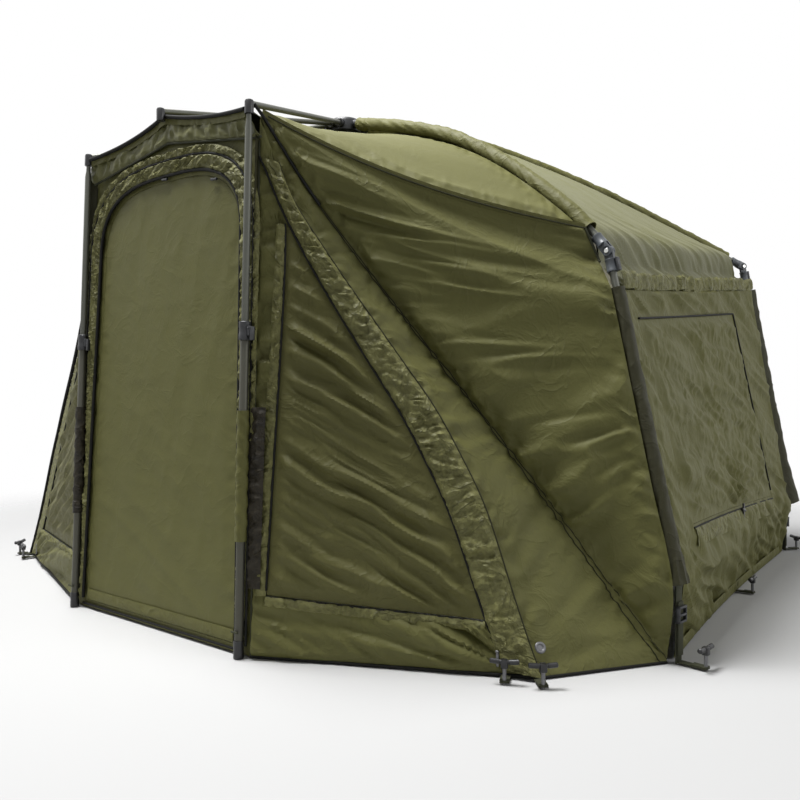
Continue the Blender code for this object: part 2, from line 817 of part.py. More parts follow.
def ramp(first, last, count):
    return [first + (last - first) * i / max(count - 1, 1) for i in range(count)]


WING_CORNERS = {
    "right": Vector((RIGHT_WING_SPREAD, RIGHT_WING_FRONT, HEM_LIFT)),
    "left": Vector((LEFT_WING_SPREAD, LEFT_WING_FRONT, HEM_LIFT)),
}


def on_its_side(name, grids, finish, side):
    """A cloth drawn on the right, kept there or turned over to the left."""
    made = sheet(f"{name}_{side}", grids, finish)
    if side == "left":
        over = mirrored(made, name + "_turned", finish)
        bpy.data.objects.remove(made, do_unlink=True)
        over.name = f"{name}_{side}"


def build_front_quarter(side):
    """Roof, side and gore as one cloth, which fans out from the peak corner to the front rib, leg and hem."""
    corner = WING_CORNERS[side]
    edge = FRONT.cloth_edge(-1.0)
    way = peak_direction(PEAK)
    aside = Vector((-way.y, way.x, 0.0)).normalized() * SEAM_GAP
    near_hub = hub_face(way, PANEL_START) + aside - Vector((0.0, 0.0, PEAK_DROP))
    foot = edge[-1]
    hem = [foot.lerp(corner, i / HEM_STEPS) for i in range(1, HEM_STEPS + 1)]
    roof_count = len(edge) - HEM_STEPS - 3
    sags = ramp(0.0, ROOF_SAG, roof_count + 1) + ramp(ROOF_SAG, FOOT_SEAM_SAG, len(edge) - roof_count)
    sags += ramp(FOOT_SEAM_SAG, GORE_SAG, HEM_STEPS + 1)[1:]
    bows = [0.0] * (len(edge) - 1) + ramp(0.0, 1.0, HEM_STEPS + 2)
    rays = fan_rows([near_hub] + edge + hem, sags, bows, CLOTH_STEPS)
    on_its_side("front_quarter", [rays], "cloth", side)


def wing_point(side):
    """Finds points on a wing by shares: out along its foot, and down from the peak corner."""
    corner = WING_CORNERS[side]
    inner = Vector((WALL_HALF_WIDTH + WALL_GAP, wall_front(HEM_LIFT), HEM_LIFT))
    outer = corner - (corner - inner).normalized() * GORE_GAP
    apex = peak_corner() + Vector((WALL_GAP, 0.0, -GORE_GAP * 2))
    sideways = bow_way(peak_corner(), corner)

    def place(out, down):
        across = out / down
        foot = inner.lerp(outer, across)
        inward = (INSIDE - (apex + foot) / 2).normalized()
        dip = 4.0 * down * (1.0 - down) * GORE_SAG * across
        return apex.lerp(foot, down) + inward * dip + sideways * (seam_bow(down) * across * across)

    return place


def patch(corners, place, steps, fold=0.0, fold_length=COVER_FOLD_LENGTH):
    """A grid over four corner shares of a cloth, with folds that run down from its upper left."""
    rows = []
    for i in range(steps + 1):
        down = i / steps
        left = Vector(corners[0]).lerp(Vector(corners[3]), down)
        right = Vector(corners[1]).lerp(Vector(corners[2]), down)
        row = []
        for k in range(steps + 1):
            across = k / steps
            share = left.lerp(right, across)
            row.append(place(share.x, share.y))
        rows.append(row)
    if fold:
        rows = folded(rows, fold, fold_length)
    return rows


def folded(rows, depth, length):
    """The grid with diagonal folds pushed out of it; its border stays where it is."""
    last, side = len(rows) - 1, len(rows[0]) - 1
    across = (rows[last][side] - rows[last][0]).normalized()
    down = (rows[last][0] - rows[0][0]).normalized()
    out = across.cross(down).normalized()
    if out.dot(rows[0][0] - INSIDE) < 0:
        out = -out
    moved = []
    for i, row in enumerate(rows):
        line = []
        for k, point in enumerate(row):
            hold = min(1.0, min(i, last - i) / last / FOLD_BORDER, min(k, side - k) / side / FOLD_BORDER)
            from_corner = point - rows[0][0]
            phase = (from_corner.dot(across) - from_corner.dot(down) / 2) / length
            turn = 2.0 * math.pi * phase
            wave = math.sin(turn) + math.sin(turn * FOLD_OVERTONE + FOLD_SHIFT) / 2
            line.append(point + out * (depth * hold * (1.0 + wave) / 2))
        moved.append(line)
    return moved


def grown(corners, place, by):
    """The corner shares moved out along both of their edges by the given length."""
    moved = []
    for i, corner in enumerate(corners):
        spot = Vector(corner)
        for other in (corners[i - 1], corners[(i + 1) % len(corners)]):
            length = (place(*corner) - place(*other)).length
            spot += (Vector(corner) - Vector(other)) * (by / length)
        moved.append(spot)
    return moved


def around(corners, outer, place):
    """A ring of cloth between four corner shares and the outer outline, as rows from the opening outwards."""
    rows = []
    for i in range(RING_STEPS + 1):
        out = i / RING_STEPS
        row = []
        for first, second in ((0, 1), (1, 2), (2, 3), (3, 0)):
            for k in range(CLOTH_STEPS):
                inner = Vector(corners[first]).lerp(Vector(corners[second]), k / CLOTH_STEPS)
                edge = Vector(outer[first]).lerp(Vector(outer[second]), k / CLOTH_STEPS)
                share = inner.lerp(edge, out)
                row.append(place(share.x, share.y))
        rows.append(row + row[:1])
    return rows


def build_wing(side):
    """The triangular cloth beside the door, from the peak corner to the ground, with its window cover."""
    place = wing_point(side)
    corners = grown(WING_COVER_SHARES, place, WING_OPENING_CLEARANCE)
    outer = ((0.0, CORNER_SHARE), (CORNER_SHARE, CORNER_SHARE), (1.0, 1.0), (0.0, 1.0))
    on_its_side("wing", [around(corners, outer, place)], "cloth", side)
    on_its_side("wing_cover", [patch(WING_COVER_SHARES, place, CLOTH_STEPS, COVER_FOLD)], "dark_cloth", side)


def between(first, second, across, sag):
    point = first.lerp(second, across)
    inward = INSIDE - point
    inward.z = min(inward.z, 0.0)
    return point + inward.normalized() * (4.0 * across * (1.0 - across) * sag)


def wall_point(across, down):
    """A point on the side wall: across from front leg to rear leg, and down from the eave to the hem."""
    front = FRONT.cloth_edge(1.0)[-HEM_STEPS - 2 :]
    rear = REAR.cloth_edge(-1.0)[-HEM_STEPS - 2 :]
    place = down * (len(front) - 1)
    step = min(int(place), len(front) - 2)
    first = front[step].lerp(front[step + 1], place - step)
    second = rear[step].lerp(rear[step + 1], place - step)
    return between(first, second, across, WALL_SAG)


def build_side_quarter():
    """Roof and side wall between the front rib and the rear rib, with the side window."""
    front = FRONT.cloth_edge(1.0)
    rear = REAR.cloth_edge(-1.0)
    roof_count = len(front) - HEM_STEPS - 2
    sags = ramp(0.0, ROOF_SAG, roof_count) + [WALL_SAG] * (HEM_STEPS + 2)
    roof = []
    for first, second, sag in list(zip(front, rear, sags))[: -HEM_STEPS - 1]:
        roof.append([between(first, second, i / CLOTH_STEPS, sag) for i in range(CLOTH_STEPS + 1)])
    corners = grown(SIDE_COVER_SHARES, wall_point, OPENING_CLEARANCE)
    outer = ((0.0, 0.0), (1.0, 0.0), (1.0, 1.0), (0.0, 1.0))
    made = sheet("side_quarter_right", [roof, around(corners, outer, wall_point)], "cloth")
    both_sides(made, "cloth")
    grid = patch(SIDE_COVER_SHARES, wall_point, CLOTH_STEPS, COVER_FOLD)
    both_sides(sheet("side_cover_right", [grid], "dark_cloth"), "dark_cloth")


def build_rear_quarter():
    """Roof and back wall between the two rear ribs."""
    edge = REAR.cloth_edge(1.0)
    sags = ramp(0.0, ROOF_SAG, len(edge) - HEM_STEPS - 2) + [WALL_SAG] * (HEM_STEPS + 2)
    rows = []
    for point, sag in zip(edge, sags):
        rows.append([between(point, flipped(point), i / REAR_COLUMNS, sag) for i in range(REAR_COLUMNS + 1)])
    sheet("rear_quarter", [rows], "cloth")


def build_peak_canopy():
    """The porch roof: a fan from the hub to the edge between the tips, with a lip turned down at that edge."""
    drop = Vector((0.0, 0.0, PEAK_DROP))
    way = peak_direction(PEAK)
    aside = Vector((-way.y, way.x, 0.0)).normalized() * SEAM_GAP
    corner = Vector((PEAK_SPREAD - TIP_RADIUS - SEAM_GAP, PEAK_FRONT, PEAK_HEIGHT)) - drop
    near = hub_face(way, PANEL_START) - drop - aside
    middle = Vector((0.0, PEAK_FRONT + TIP_RADIUS + SEAM_GAP, PEAK_CENTRE_HEIGHT)) - drop
    near_middle = hub_face(peak_direction(PEAK_CENTRE), PANEL_START) - drop
    half = PEAK_COLUMNS // 2
    rows = []
    for i in range(CLOTH_STEPS + 1):
        along = i / CLOTH_STEPS
        side = near.lerp(corner, along)
        centre = near_middle.lerp(middle, along)
        right = [between(centre, side, k / half, PEAK_SAG * along) for k in range(half + 1)]
        rows.append([flipped(point) for point in reversed(right[1:])] + right)
    rows.append([point - Vector((0.0, 0.0, PEAK_LIP)) for point in rows[-1]])
    sheet("peak_canopy", [rows], "cloth")


def door_outline(grow=0.0):
    """Half-widths and heights up one side of the door: a straight side, and then a quarter of an arch."""
    sill = DOOR_SILL - grow
    foot = DOOR_FOOT_HALF_WIDTH + grow
    width = DOOR_HALF_WIDTH + grow
    rise = DOOR_TOP + grow - DOOR_SPRING_HEIGHT
    side = []
    for i in range(DOOR_SIDE_ROWS):
        share = i / DOOR_SIDE_ROWS
        side.append((foot + (width - foot) * share, sill + (DOOR_SPRING_HEIGHT - sill) * share))
    for i in range(DOOR_ARCH_ROWS + 1):
        angle = DOOR_ARCH_END * i / DOOR_ARCH_ROWS
        across = math.cos(angle) ** DOOR_ARCH_POWER
        side.append((width * across, DOOR_SPRING_HEIGHT + rise * math.sin(angle) ** DOOR_ARCH_POWER))
    return side


def front_point(x, z):
    return Vector((x, wall_front(z), z))


def wall_outline():
    """Points on the front wall's outer edge, one beside each point of the door's outline on the right."""
    rising = DOOR_SIDE_ROWS + DOOR_ARCH_ROWS // 2
    edge = [(WALL_HALF_WIDTH, HEM_LIFT, PEAK_SPREAD, WALL_HEIGHT, i / rising) for i in range(rising)]
    over = DOOR_ARCH_ROWS - DOOR_ARCH_ROWS // 2
    reach = DOOR_HALF_WIDTH * math.cos(DOOR_ARCH_END) ** DOOR_ARCH_POWER
    crown = WALL_CENTRE_HEIGHT + (WALL_HEIGHT - WALL_CENTRE_HEIGHT) * reach / PEAK_SPREAD
    edge += [(PEAK_SPREAD, WALL_HEIGHT, reach, crown, i / over) for i in range(over + 1)]
    return [(x0 + (x1 - x0) * share, z0 + (z1 - z0) * share) for x0, z0, x1, z1, share in edge]


def build_front():
    """The flat wall round the door with its two pole wraps, and the door panel in its opening."""
    rows = []
    for i in range(RING_STEPS + 1):
        out = i / RING_STEPS
        side = []
        for (x0, z0), (x1, z1) in zip(door_outline(OPENING_CLEARANCE), wall_outline()):
            side.append((x0 + (x1 - x0) * out, z0 + (z1 - z0) * out))
        loop = side + [(-x, z) for x, z in reversed(side)] + side[:1]
        rows.append([front_point(x, z) for x, z in loop])
    wall = applied(sheet("front_wall", [rows], "cloth"), "cloth")
    wraps, bores = [], []
    for hand in (-1.0, 1.0):
        foot = Vector((hand * POLE_SPREAD, 0.0, 0.0))
        axis = Vector((hand * POLE_AXIS.x, POLE_AXIS.y, POLE_AXIS.z))
        low, high = foot + axis * WRAP_BOTTOM, foot + axis * WRAP_TOP
        wraps.append(cylinder(f"wrap_{hand:+.0f}", low, high, WRAP_RADIUS))
        middle = (low.x + high.x) / 2
        wraps.append(
            box(
                f"wrap_web_{hand:+.0f}",
                (middle - WRAP_EDGE, (low.y + high.y) / 2 + WRAP_BORE, low.z + WRAP_EDGE),
                (middle + WRAP_EDGE, wall_front(high.z) + CLOTH / 2, high.z - WRAP_EDGE),
            )
        )
        bores.append(cylinder(f"wrap_bore_{hand:+.0f}", foot, foot + axis * CLAMP_HEIGHT, WRAP_BORE))
    combine(wall, wraps, "UNION")
    combine(wall, bores, "DIFFERENCE")
    rows = []
    for reach, level in reversed(door_outline()):
        rows.append(
            [front_point(reach * (1.0 - 2.0 * k / DOOR_COLUMNS), level) for k in range(DOOR_COLUMNS + 1)]
        )
    sheet("door_panel", [folded(rows, DOOR_FOLD, DOOR_FOLD_LENGTH)], "cloth")


def build_pegs():
    """T-pegs with their shanks pushed into the ground; each holds a webbing loop of the strap or hem."""
    for place, rib in (("front", FRONT), ("rear", REAR)):
        strap = rib.leg_at(POCKET_HEIGHT) + rib.down * POCKET_FLOOR / 2
        spot = rib.foot + rib.out * FOOT_PEG_OFFSET
        hold = (spot - strap).dot(rib.out) - STRAP_THICKNESS / 2
        both_sides(build_peg(f"peg_{place}_foot_right", spot, rib.out, hold), "peg")
    out = Vector((1.0, 0.0, 0.0))
    spot = wall_point(0.5, 1.0) + out * PEG_OFFSET
    both_sides(build_peg("peg_side_right", spot, out, PEG_OFFSET - SIDE_LOOP_GAP), "peg")
    for side, corner in WING_CORNERS.items():
        to_door = Vector((WALL_HALF_WIDTH, WALL_FOOT_FRONT, HEM_LIFT)) - corner
        to_leg = FRONT.hem - corner
        spot, out = Vector(corner), -(to_door.normalized() + to_leg.normalized()).normalized()
        if side == "left":
            spot, out = flipped(spot), flipped(out)
        build_peg("peg_wing_" + side, spot + out * PEG_OFFSET, out, PEG_OFFSET)


def build_peg(name, spot, out, hold):
    """A shank with a bar across its top, and its loop, which reaches back towards what the peg holds."""
    ground = Vector((spot.x, spot.y, 0.0))
    top = ground + Vector((0.0, 0.0, PEG_HEIGHT))
    peg = cylinder(name, ground, top, PEG_RADIUS, "peg", SMALL_SIDES)
    across = Vector((-out.y, out.x, 0.0)) * PEG_BAR_LENGTH / 2
    bar = cylinder("bar_" + name, top - across, top + across, PEG_BAR_RADIUS, sides=SMALL_SIDES)
    loop = box(
        "loop_" + name,
        (-LOOP_WIDTH / 2, -hold + CLEARANCE, LOOP_HEIGHT),
        (LOOP_WIDTH / 2, 0.0, LOOP_HEIGHT + LOOP_THICKNESS),
        place=Matrix.Translation(ground) @ turned_to(Vector((0.0, 0.0, 1.0)), out),
    )
    return combine(peg, [bar, loop], "UNION")


def centre_on_footprint():
    """Moves every object so that the origin lies under the middle of the parts, on the ground."""
    bpy.context.view_layer.update()
    points = []
    for part in bpy.data.collections[PARTS].objects:
        points += [vertex.co.copy() for vertex in evaluated_mesh(part).vertices]
    lowest = min(point.z for point in points)
    front = min(point.y for point in points)
    back = max(point.y for point in points)
    shift = Vector((0.0, (front + back) / 2, lowest))
    for name in (PARTS, CUTTERS):
        for item in bpy.data.collections[name].objects:
            item.matrix_world = Matrix.Translation(-shift) @ item.matrix_world
    return shift


def hinge_line(corners, place):
    """The straight line about which a cover drops: in the gap below its foot, out at the foot's boldest point."""
    first, last = Vector(corners[3]), Vector(corners[2])
    start = place(*first)
    axis = (place(*last) - start).normalized()
    out = axis.cross(Vector((0.0, 0.0, 1.0))).normalized()
    foot = [place(*first.lerp(last, i / CLOTH_STEPS)) for i in range(CLOTH_STEPS + 1)]
    boldest = max((point - start).dot(out) for point in foot)
    return start + out * boldest - out.cross(axis) * OPENING_CLEARANCE, axis


def print_axes(shift):
    """The hinge points and axes of the right-hand joints, for the record of the moving parts."""

    def show(name, point, axis):
        print(name, [round(v, 5) for v in point - shift], [round(v, 5) for v in axis])

    for place, rib in (("front", FRONT), ("rear", REAR)):
        show(f"elbow {place}", rib.pivot, rib.side)
        frame = Matrix.Translation(rib.pivot) @ turned_to(rib.down, rib.side)
        middle = outward_of(frame) * (BARREL_RADIUS + CLEARANCE + LEVER_DEPTH / 2)
        show(f"lever {place}", frame @ Vector((middle, 0.0, BARREL_START + LEVER_DEPTH / 2)), rib.side)
    show("storm pole", POLE_FOOT, POLE_AXIS)
    show("door", front_point(0.0, DOOR_SILL), Vector((1.0, 0.0, 0.0)))
    show("wing cover right", *hinge_line(WING_COVER_SHARES, wing_point("right")))
    show("wing cover left, seen from the right", *hinge_line(WING_COVER_SHARES, wing_point("left")))
    show("side cover", *hinge_line(SIDE_COVER_SHARES, wall_point))


def main():
    clear_scene()
    build_hub()
    build_peak_ribs()
    build_main_ribs()
    build_elbows()
    build_legs()
    build_storm_poles()
    build_peak_canopy()
    for side in WING_CORNERS:
        build_front_quarter(side)
        build_wing(side)
    build_side_quarter()
    build_rear_quarter()
    build_front()
    build_pegs()
    print_axes(centre_on_footprint())


main()
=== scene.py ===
"""The looks of a bivvy tent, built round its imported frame: cloth with its folds, sleeves, zips and fittings.

Lengths are in metres in the frame's own axes: X across the door, Y from the door to the back, Z up.
"""

import math

import bmesh
import bpy
import numpy as np
from mathutils import Matrix, Vector
from mathutils.geometry import interpolate_bezier


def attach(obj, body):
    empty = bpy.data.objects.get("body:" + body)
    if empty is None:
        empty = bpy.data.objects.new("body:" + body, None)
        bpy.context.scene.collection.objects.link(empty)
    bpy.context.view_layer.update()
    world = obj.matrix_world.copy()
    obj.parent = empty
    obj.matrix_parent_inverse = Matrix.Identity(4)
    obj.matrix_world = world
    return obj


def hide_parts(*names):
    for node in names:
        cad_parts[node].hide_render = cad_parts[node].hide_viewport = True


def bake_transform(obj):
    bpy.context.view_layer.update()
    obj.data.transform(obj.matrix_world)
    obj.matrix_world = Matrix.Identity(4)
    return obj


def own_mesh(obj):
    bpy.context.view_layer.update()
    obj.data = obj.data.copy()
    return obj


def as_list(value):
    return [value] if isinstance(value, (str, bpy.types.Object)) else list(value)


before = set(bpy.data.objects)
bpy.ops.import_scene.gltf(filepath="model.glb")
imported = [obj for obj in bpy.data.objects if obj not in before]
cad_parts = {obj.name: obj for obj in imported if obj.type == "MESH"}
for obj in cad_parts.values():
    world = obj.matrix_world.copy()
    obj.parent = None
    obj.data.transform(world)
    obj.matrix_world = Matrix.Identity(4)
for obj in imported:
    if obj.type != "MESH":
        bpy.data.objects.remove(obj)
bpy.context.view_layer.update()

bl_info = {
    "name": "Bivvy tent looks",
    "version": (1, 0, 0),
    "blender": (4, 5, 0),
    "location": "3D View > Sidebar > Bivvy",
    "description": "Builds the cloth, trim, fittings and stage of a bivvy tent round its frame",
    "category": "Object",
}

# Main lines of the shelter, as its frame has them
FRONT_LINE = -1.16619
HUB_HEIGHT = 1.575
HUB_RADIUS = 0.055
HUB_SOCKET_REACH = 0.078
PEAK_DROP = 0.0088
TIP_RADIUS = 0.0115
TIP_HEIGHT = 0.026
APEX_SHARE = 0.010
SEAM_DROP = 0.024
HUB_DROP = 0.040
SLEEVE_STAND = 0.014
HUB = Vector((0.0, FRONT_LINE + 0.800, HUB_HEIGHT))
INSIDE = Vector((0.0, HUB.y, HUB_HEIGHT / 2))
POLE_SPREAD = 0.378
PEAK_SPREAD = 0.368
PEAK_Y = FRONT_LINE + 0.046
PEAK_HEIGHT = 1.365
PEAK_CENTRE_HEIGHT = 1.425
WALL_HALF_WIDTH = 0.398
WALL_HEIGHT = 1.300
WALL_CENTRE_HEIGHT = 1.362
HEM_LIFT = 0.003
CLOTH_THICKNESS = 0.0016
SEAM_GAP = 0.003
WALL_GAP = 0.0018
CHORD_GAP = 0.0024
CHORD_DEPTH = 0.012
GORE_GAP = 0.0050
CLEARANCE = 0.0004
WING_CORNERS = {
    "right": Vector((1.020, FRONT_LINE + 0.325, HEM_LIFT)),
    "left": Vector((1.235, FRONT_LINE + 0.305, HEM_LIFT)),
}
PEAK = Vector((PEAK_SPREAD, PEAK_Y, PEAK_HEIGHT))
PEAK_CENTRE = Vector((0.0, PEAK_Y, PEAK_CENTRE_HEIGHT))
POLE_FOOT = Vector((POLE_SPREAD, FRONT_LINE, 0.0))
POLE_AXIS = (PEAK - POLE_FOOT).normalized()
CLAMP_HEIGHT = 0.790
SLEEVE_RADIUS = 0.022
TUBE_SEAT = 0.034
SLEEVE_REST = 0.086
LEG_SLEEVE_TOP = 0.100
POCKET_HEIGHT = 0.190
PANEL_START = 0.100
ROOF_SAG = 0.022
WALL_SAG = 0.020
FOOT_SEAM_SAG = 0.080
GORE_SAG = 0.060
HEM_STEPS = 3
WING_SEAM_SHARES = (
    (0.00, 0.000),
    (0.14, -0.022),
    (0.29, -0.001),
    (0.44, 0.023),
    (0.58, 0.046),
    (0.74, 0.047),
    (0.87, 0.022),
    (1.00, 0.000),
)
WING_COVER_SHARES = ((0.110, 0.208), (0.123, 0.208), (0.817, 0.918), (0.055, 0.888))
SIDE_COVER_SHARES = ((0.060, 0.080), (0.780, 0.078), (0.830, 0.690), (0.130, 0.640))
DOOR_FOOT_HALF_WIDTH = 0.339
DOOR_HALF_WIDTH = 0.305
DOOR_SILL = 0.024
DOOR_SPRING_HEIGHT = 1.030
DOOR_TOP = 1.238
DOOR_ARCH_POWER = 0.67
DOOR_ARCH_END = math.radians(82.0)
WRAP_BOTTOM = 0.285
WRAP_TOP = 0.605
TUBE_RADIUS = 0.0095
STRIP_THICKNESS = 0.0012
THREAD_PITCH = 0.0011
SEAM_HOLD = 0.012
BEND_REACH = 0.090
HUB_DIP = 0.034
HUB_DIP_REACH = 0.20
ROOF_STAND = SLEEVE_STAND * 0.7
STRAP_GAP = 0.002
PEG_REACH = 0.055
INNER_PEG_REACH = 0.045
LEAST_AREA_SHARE = 0.31
SILL_LOWERING = Vector((0.0, 0.0075))
UP = Vector((0.0, 0.0, 1.0))
FORWARD = np.array([0.0, -1.0, 0.0])

# Outlines of turned fittings, as pairs of radius and height
EYELET = (
    (0.0065, 0.0),
    (0.0135, 0.0),
    (0.0135, 0.0015),
    (0.0115, 0.0035),
    (0.0085, 0.0035),
    (0.0065, 0.0015),
    (0.0065, 0.0),
)
EYELET_FLOOR = ((0.0, 0.0006), (0.0070, 0.0006), (0.0070, 0.0), (0.0, 0.0))
CAP_PROFILE = ((0.0110, -0.026), (0.0115, -0.024), (0.0115, 0.004), (0.0100, 0.008), (0.0060, 0.010), (0.0, 0.010))
LOWER_POLE = (
    (0.0098, 0.19),
    (0.0098, 0.789),
    (0.0100, 0.790),
    (0.0106, 0.790),
    (0.0110, 0.789),
    (0.0110, 0.0405),
    (0.0, 0.0405),
)
POLE_BOOT = (
    (0.0, 0.0),
    (0.0122, 0.0),
    (0.0130, 0.0015),
    (0.0130, 0.018),
    (0.0122, 0.022),
    (0.0128, 0.026),
    (0.0128, 0.043),
    (0.0120, 0.044),
    (0.0, 0.044),
)
UPPER_POLE_START = ((0.0, 0.0), (0.0088, 0.0), (0.0092, 0.0006))
UPPER_POLE_END = (
    (0.0092, -0.034),
    (0.0066, -0.016),
    (0.0062, 0.0),
    (0.0040, 0.0),
    (0.0040, 0.010),
    (0.0020, 0.020),
    (0.0, 0.020),
)
CLAMP_PROFILE = (
    (0.0096, 0.0004),
    (0.0096, 0.030),
    (0.0104, 0.034),
    (0.0138, 0.034),
    (0.0150, 0.0325),
    (0.0150, 0.020),
    (0.0142, 0.018),
    (0.0142, 0.004),
    (0.0150, 0.002),
    (0.0150, -0.0105),
    (0.0142, -0.012),
    (0.0114, -0.012),
    (0.0114, 0.0004),
    (0.0096, 0.0004),
)
HUB_PROFILE = (
    (0.0, -0.023),
    (0.050, -0.023),
    (0.054, -0.020),
    (0.055, -0.014),
    (0.055, 0.012),
    (0.053, 0.017),
    (0.048, 0.022),
    (0.026, 0.0235),
    (0.022, 0.0235),
    (0.022, 0.028),
    (0.019, 0.030),
    (0.008, 0.030),
    (0.0, 0.0285),
)
BARREL_PROFILE = (
    (0.0097, 0.034),
    (0.0097, 0.0555),
    (0.0105, 0.056),
    (0.0142, 0.056),
    (0.0150, 0.0552),
    (0.0150, 0.0510),
    (0.0144, 0.0500),
    (0.0144, 0.0270),
    (0.0150, 0.0260),
    (0.0150, 0.0230),
    (0.0140, 0.0220),
    (0.0, 0.0220),
    (0.0, 0.034),
    (0.0097, 0.034),
)

SIDES = ("right", "left")


# ---------------------------------------------------------------- points and lines


def smooth_through(points, leaving, arriving, steps):
    """Points spread evenly along one smooth curve through the given points, with a given way at each end."""
    ways = [leaving]
    for before, after in zip(points, points[2:]):
        ways.append((after - before).normalized())
    ways.append(arriving)
    fine = []
    for i in range(len(points) - 1):
        first, second = points[i], points[i + 1]
        pull = (second - first).length / 3
        after, before = first + ways[i] * pull, second - ways[i + 1] * pull
        fine += interpolate_bezier(first, after, before, second, 12)[:-1]
    fine.append(points[-1])
    return [Vector(point) for point in spaced(fine, steps)]


def run_along(line):
    """The points of a line as an array, and the distance run along it at each."""
    points = np.array([tuple(p) for p in line], float)
    return points, np.concatenate([[0.0], np.cumsum(np.linalg.norm(np.diff(points, axis=0), axis=1))])


def spaced(line, steps):
    """The line again, as points at equal distances along it."""
    points, run = run_along(line)
    wanted = np.linspace(0.0, run[-1], steps + 1)
    return np.stack([np.interp(wanted, run, points[:, k]) for k in range(3)], axis=1)


class Rib:
    """The line of one right-hand main rib and its leg, in the upright plane through the hub's axis."""

    def __init__(self, name, bearing, elbow_reach, elbow_height, foot_reach, shares, hem_reach, roof_gap, leg_gap):
        self.name = name
        self.out = Vector((math.cos(bearing), math.sin(bearing), 0.0))
        self.side = Vector((-self.out.y, self.out.x, 0.0))
        self.pivot = self.at(elbow_reach, elbow_height)
        self.foot = self.at(foot_reach, 0.0)
        self.hem = self.at(hem_reach, HEM_LIFT)
        reach, drop = elbow_reach - HUB_RADIUS, HUB_HEIGHT - elbow_height
        self.bends = [self.at(HUB_RADIUS + reach * a, HUB_HEIGHT - drop * d) for a, d in shares]
        self.leaving = (self.bends[0] - self.at(HUB_RADIUS, HUB_HEIGHT)).normalized()
        self.arriving = (self.pivot - self.bends[-1]).normalized()
        self.down = (self.foot - self.pivot).normalized()
        self.roof_offset = SLEEVE_RADIUS + CLEARANCE + roof_gap
        self.leg_offset = SLEEVE_RADIUS + CLEARANCE + leg_gap

    def at(self, reach, height):
        return Vector((0.0, HUB.y, height)) + self.out * reach

    def upper(self, from_reach, before_pivot):
        """The rib's centreline, from a reach near the hub to a distance before the elbow's pivot."""
        start = self.at(HUB_RADIUS, HUB_HEIGHT) + self.leaving * (from_reach - HUB_RADIUS)
        bends = [start + self.leaving * 0.030, *self.bends[:-1], self.pivot - self.arriving * SLEEVE_REST]
        line = [start] + smooth_through(bends, self.leaving, self.arriving, 11)
        if before_pivot < SLEEVE_REST:
            line.append(self.pivot - self.arriving * before_pivot)
        return line

    def on_leg(self, after_pivot):
        return self.pivot + self.down * after_pivot

    def leg_at(self, height):
        return self.pivot + self.down * ((self.pivot.z - height) / -self.down.z)

    def cloth_edge(self, hand):
        """The edge of the cloth on one side of this rib, from the hub down to the hem."""
        aside = self.side * (hand * self.roof_offset)
        rib = self.upper(PANEL_START, SLEEVE_REST)
        edge = [point + aside for point in rib[:1] + rib[3::2] + rib[-1:]]
        top = self.on_leg(LEG_SLEEVE_TOP)
        middle = (rib[-1] + top) / 2
        inward = (INSIDE - middle).normalized()
        edge.append(middle + inward * CHORD_DEPTH + self.side * (hand * CHORD_GAP))
        pocket = self.leg_at(POCKET_HEIGHT)
        for i in range(HEM_STEPS + 1):
            aside = self.side * (hand * (self.leg_offset + 0.003 * i / HEM_STEPS))
            edge.append(top.lerp(pocket, i / HEM_STEPS) + aside)
        return edge + [self.hem + self.side * (hand * 0.020)]


FRONT = Rib(
    "front",
    math.radians(-7.8),
    1.050,
    1.010,
    1.287,
    ((0.228, 0.112), (0.449, 0.257), (0.645, 0.458), (0.820, 0.687), (0.922, 0.841)),
    1.222,
    0.0015,
    0.0030,
)
REAR = Rib(
    "rear",
    math.radians(53.5),
    1.625,
    1.155,
    1.867,
    ((0.189, 0.012), (0.337, 0.107), (0.597, 0.395), (0.800, 0.690), (0.917, 0.865)),
    1.800,
    0.0021,
    0.0025,
)
RIBS = {rib.name: rib for rib in (FRONT, REAR)}


def flipped(point):
    return Vector((-point.x, point.y, point.z))


def peak_direction(tip):
    level = Vector((tip.x - HUB.x, tip.y - HUB.y, 0.0)).normalized()
    return (tip - (HUB + level * HUB_RADIUS)).normalized()


def hub_face(direction, reach=HUB_SOCKET_REACH):
    level = Vector((direction.x, direction.y, 0.0)).normalized()
    return HUB + level * HUB_RADIUS + direction * (reach - HUB_RADIUS)


def wall_y(height):
    """Where the front wall stands at a height: it leans back a little."""
    return FRONT_LINE + 0.020 + 0.060 * height / PEAK_HEIGHT


def peak_corner():
    height = PEAK_HEIGHT - PEAK_DROP
    return Vector((PEAK_SPREAD, wall_y(height), height))


def bow_way(corner, foot):
    """The way in which the seam between wing and gore bows, as long as the seam."""
    line = foot - corner
    level = Vector((line.x, line.y, 0.0)).normalized()
    return (level - line * (level.dot(line) / line.length_squared)).normalized() * line.length


def seam_bow(along):
    for (start, first), (end, second) in zip(WING_SEAM_SHARES, WING_SEAM_SHARES[1:]):
        if along <= end:
            share = (along - start) / (end - start)
            return first + (second - first) * share * share * (3.0 - 2.0 * share)
    return WING_SEAM_SHARES[-1][1]


def smooth_seam_bow(along):
    """The seam's bow again, averaged over a short stretch so that the fine cloth has no kinks."""
    spread = (-0.06, -0.04, -0.02, 0.0, 0.02, 0.04, 0.06)
    return sum(seam_bow(min(1.0, max(0.0, along + s))) for s in spread) / len(spread)


def between(first, second, across, sag):
    point = first.lerp(second, across)
    inward = INSIDE - point
    inward.z = min(inward.z, 0.0)
    return point + inward.normalized() * (4.0 * across * (1.0 - across) * sag)


def ramp(first, last, count):
    return [first + (last - first) * i / max(count - 1, 1) for i in range(count)]


# ---------------------------------------------------------------- grids of cloth


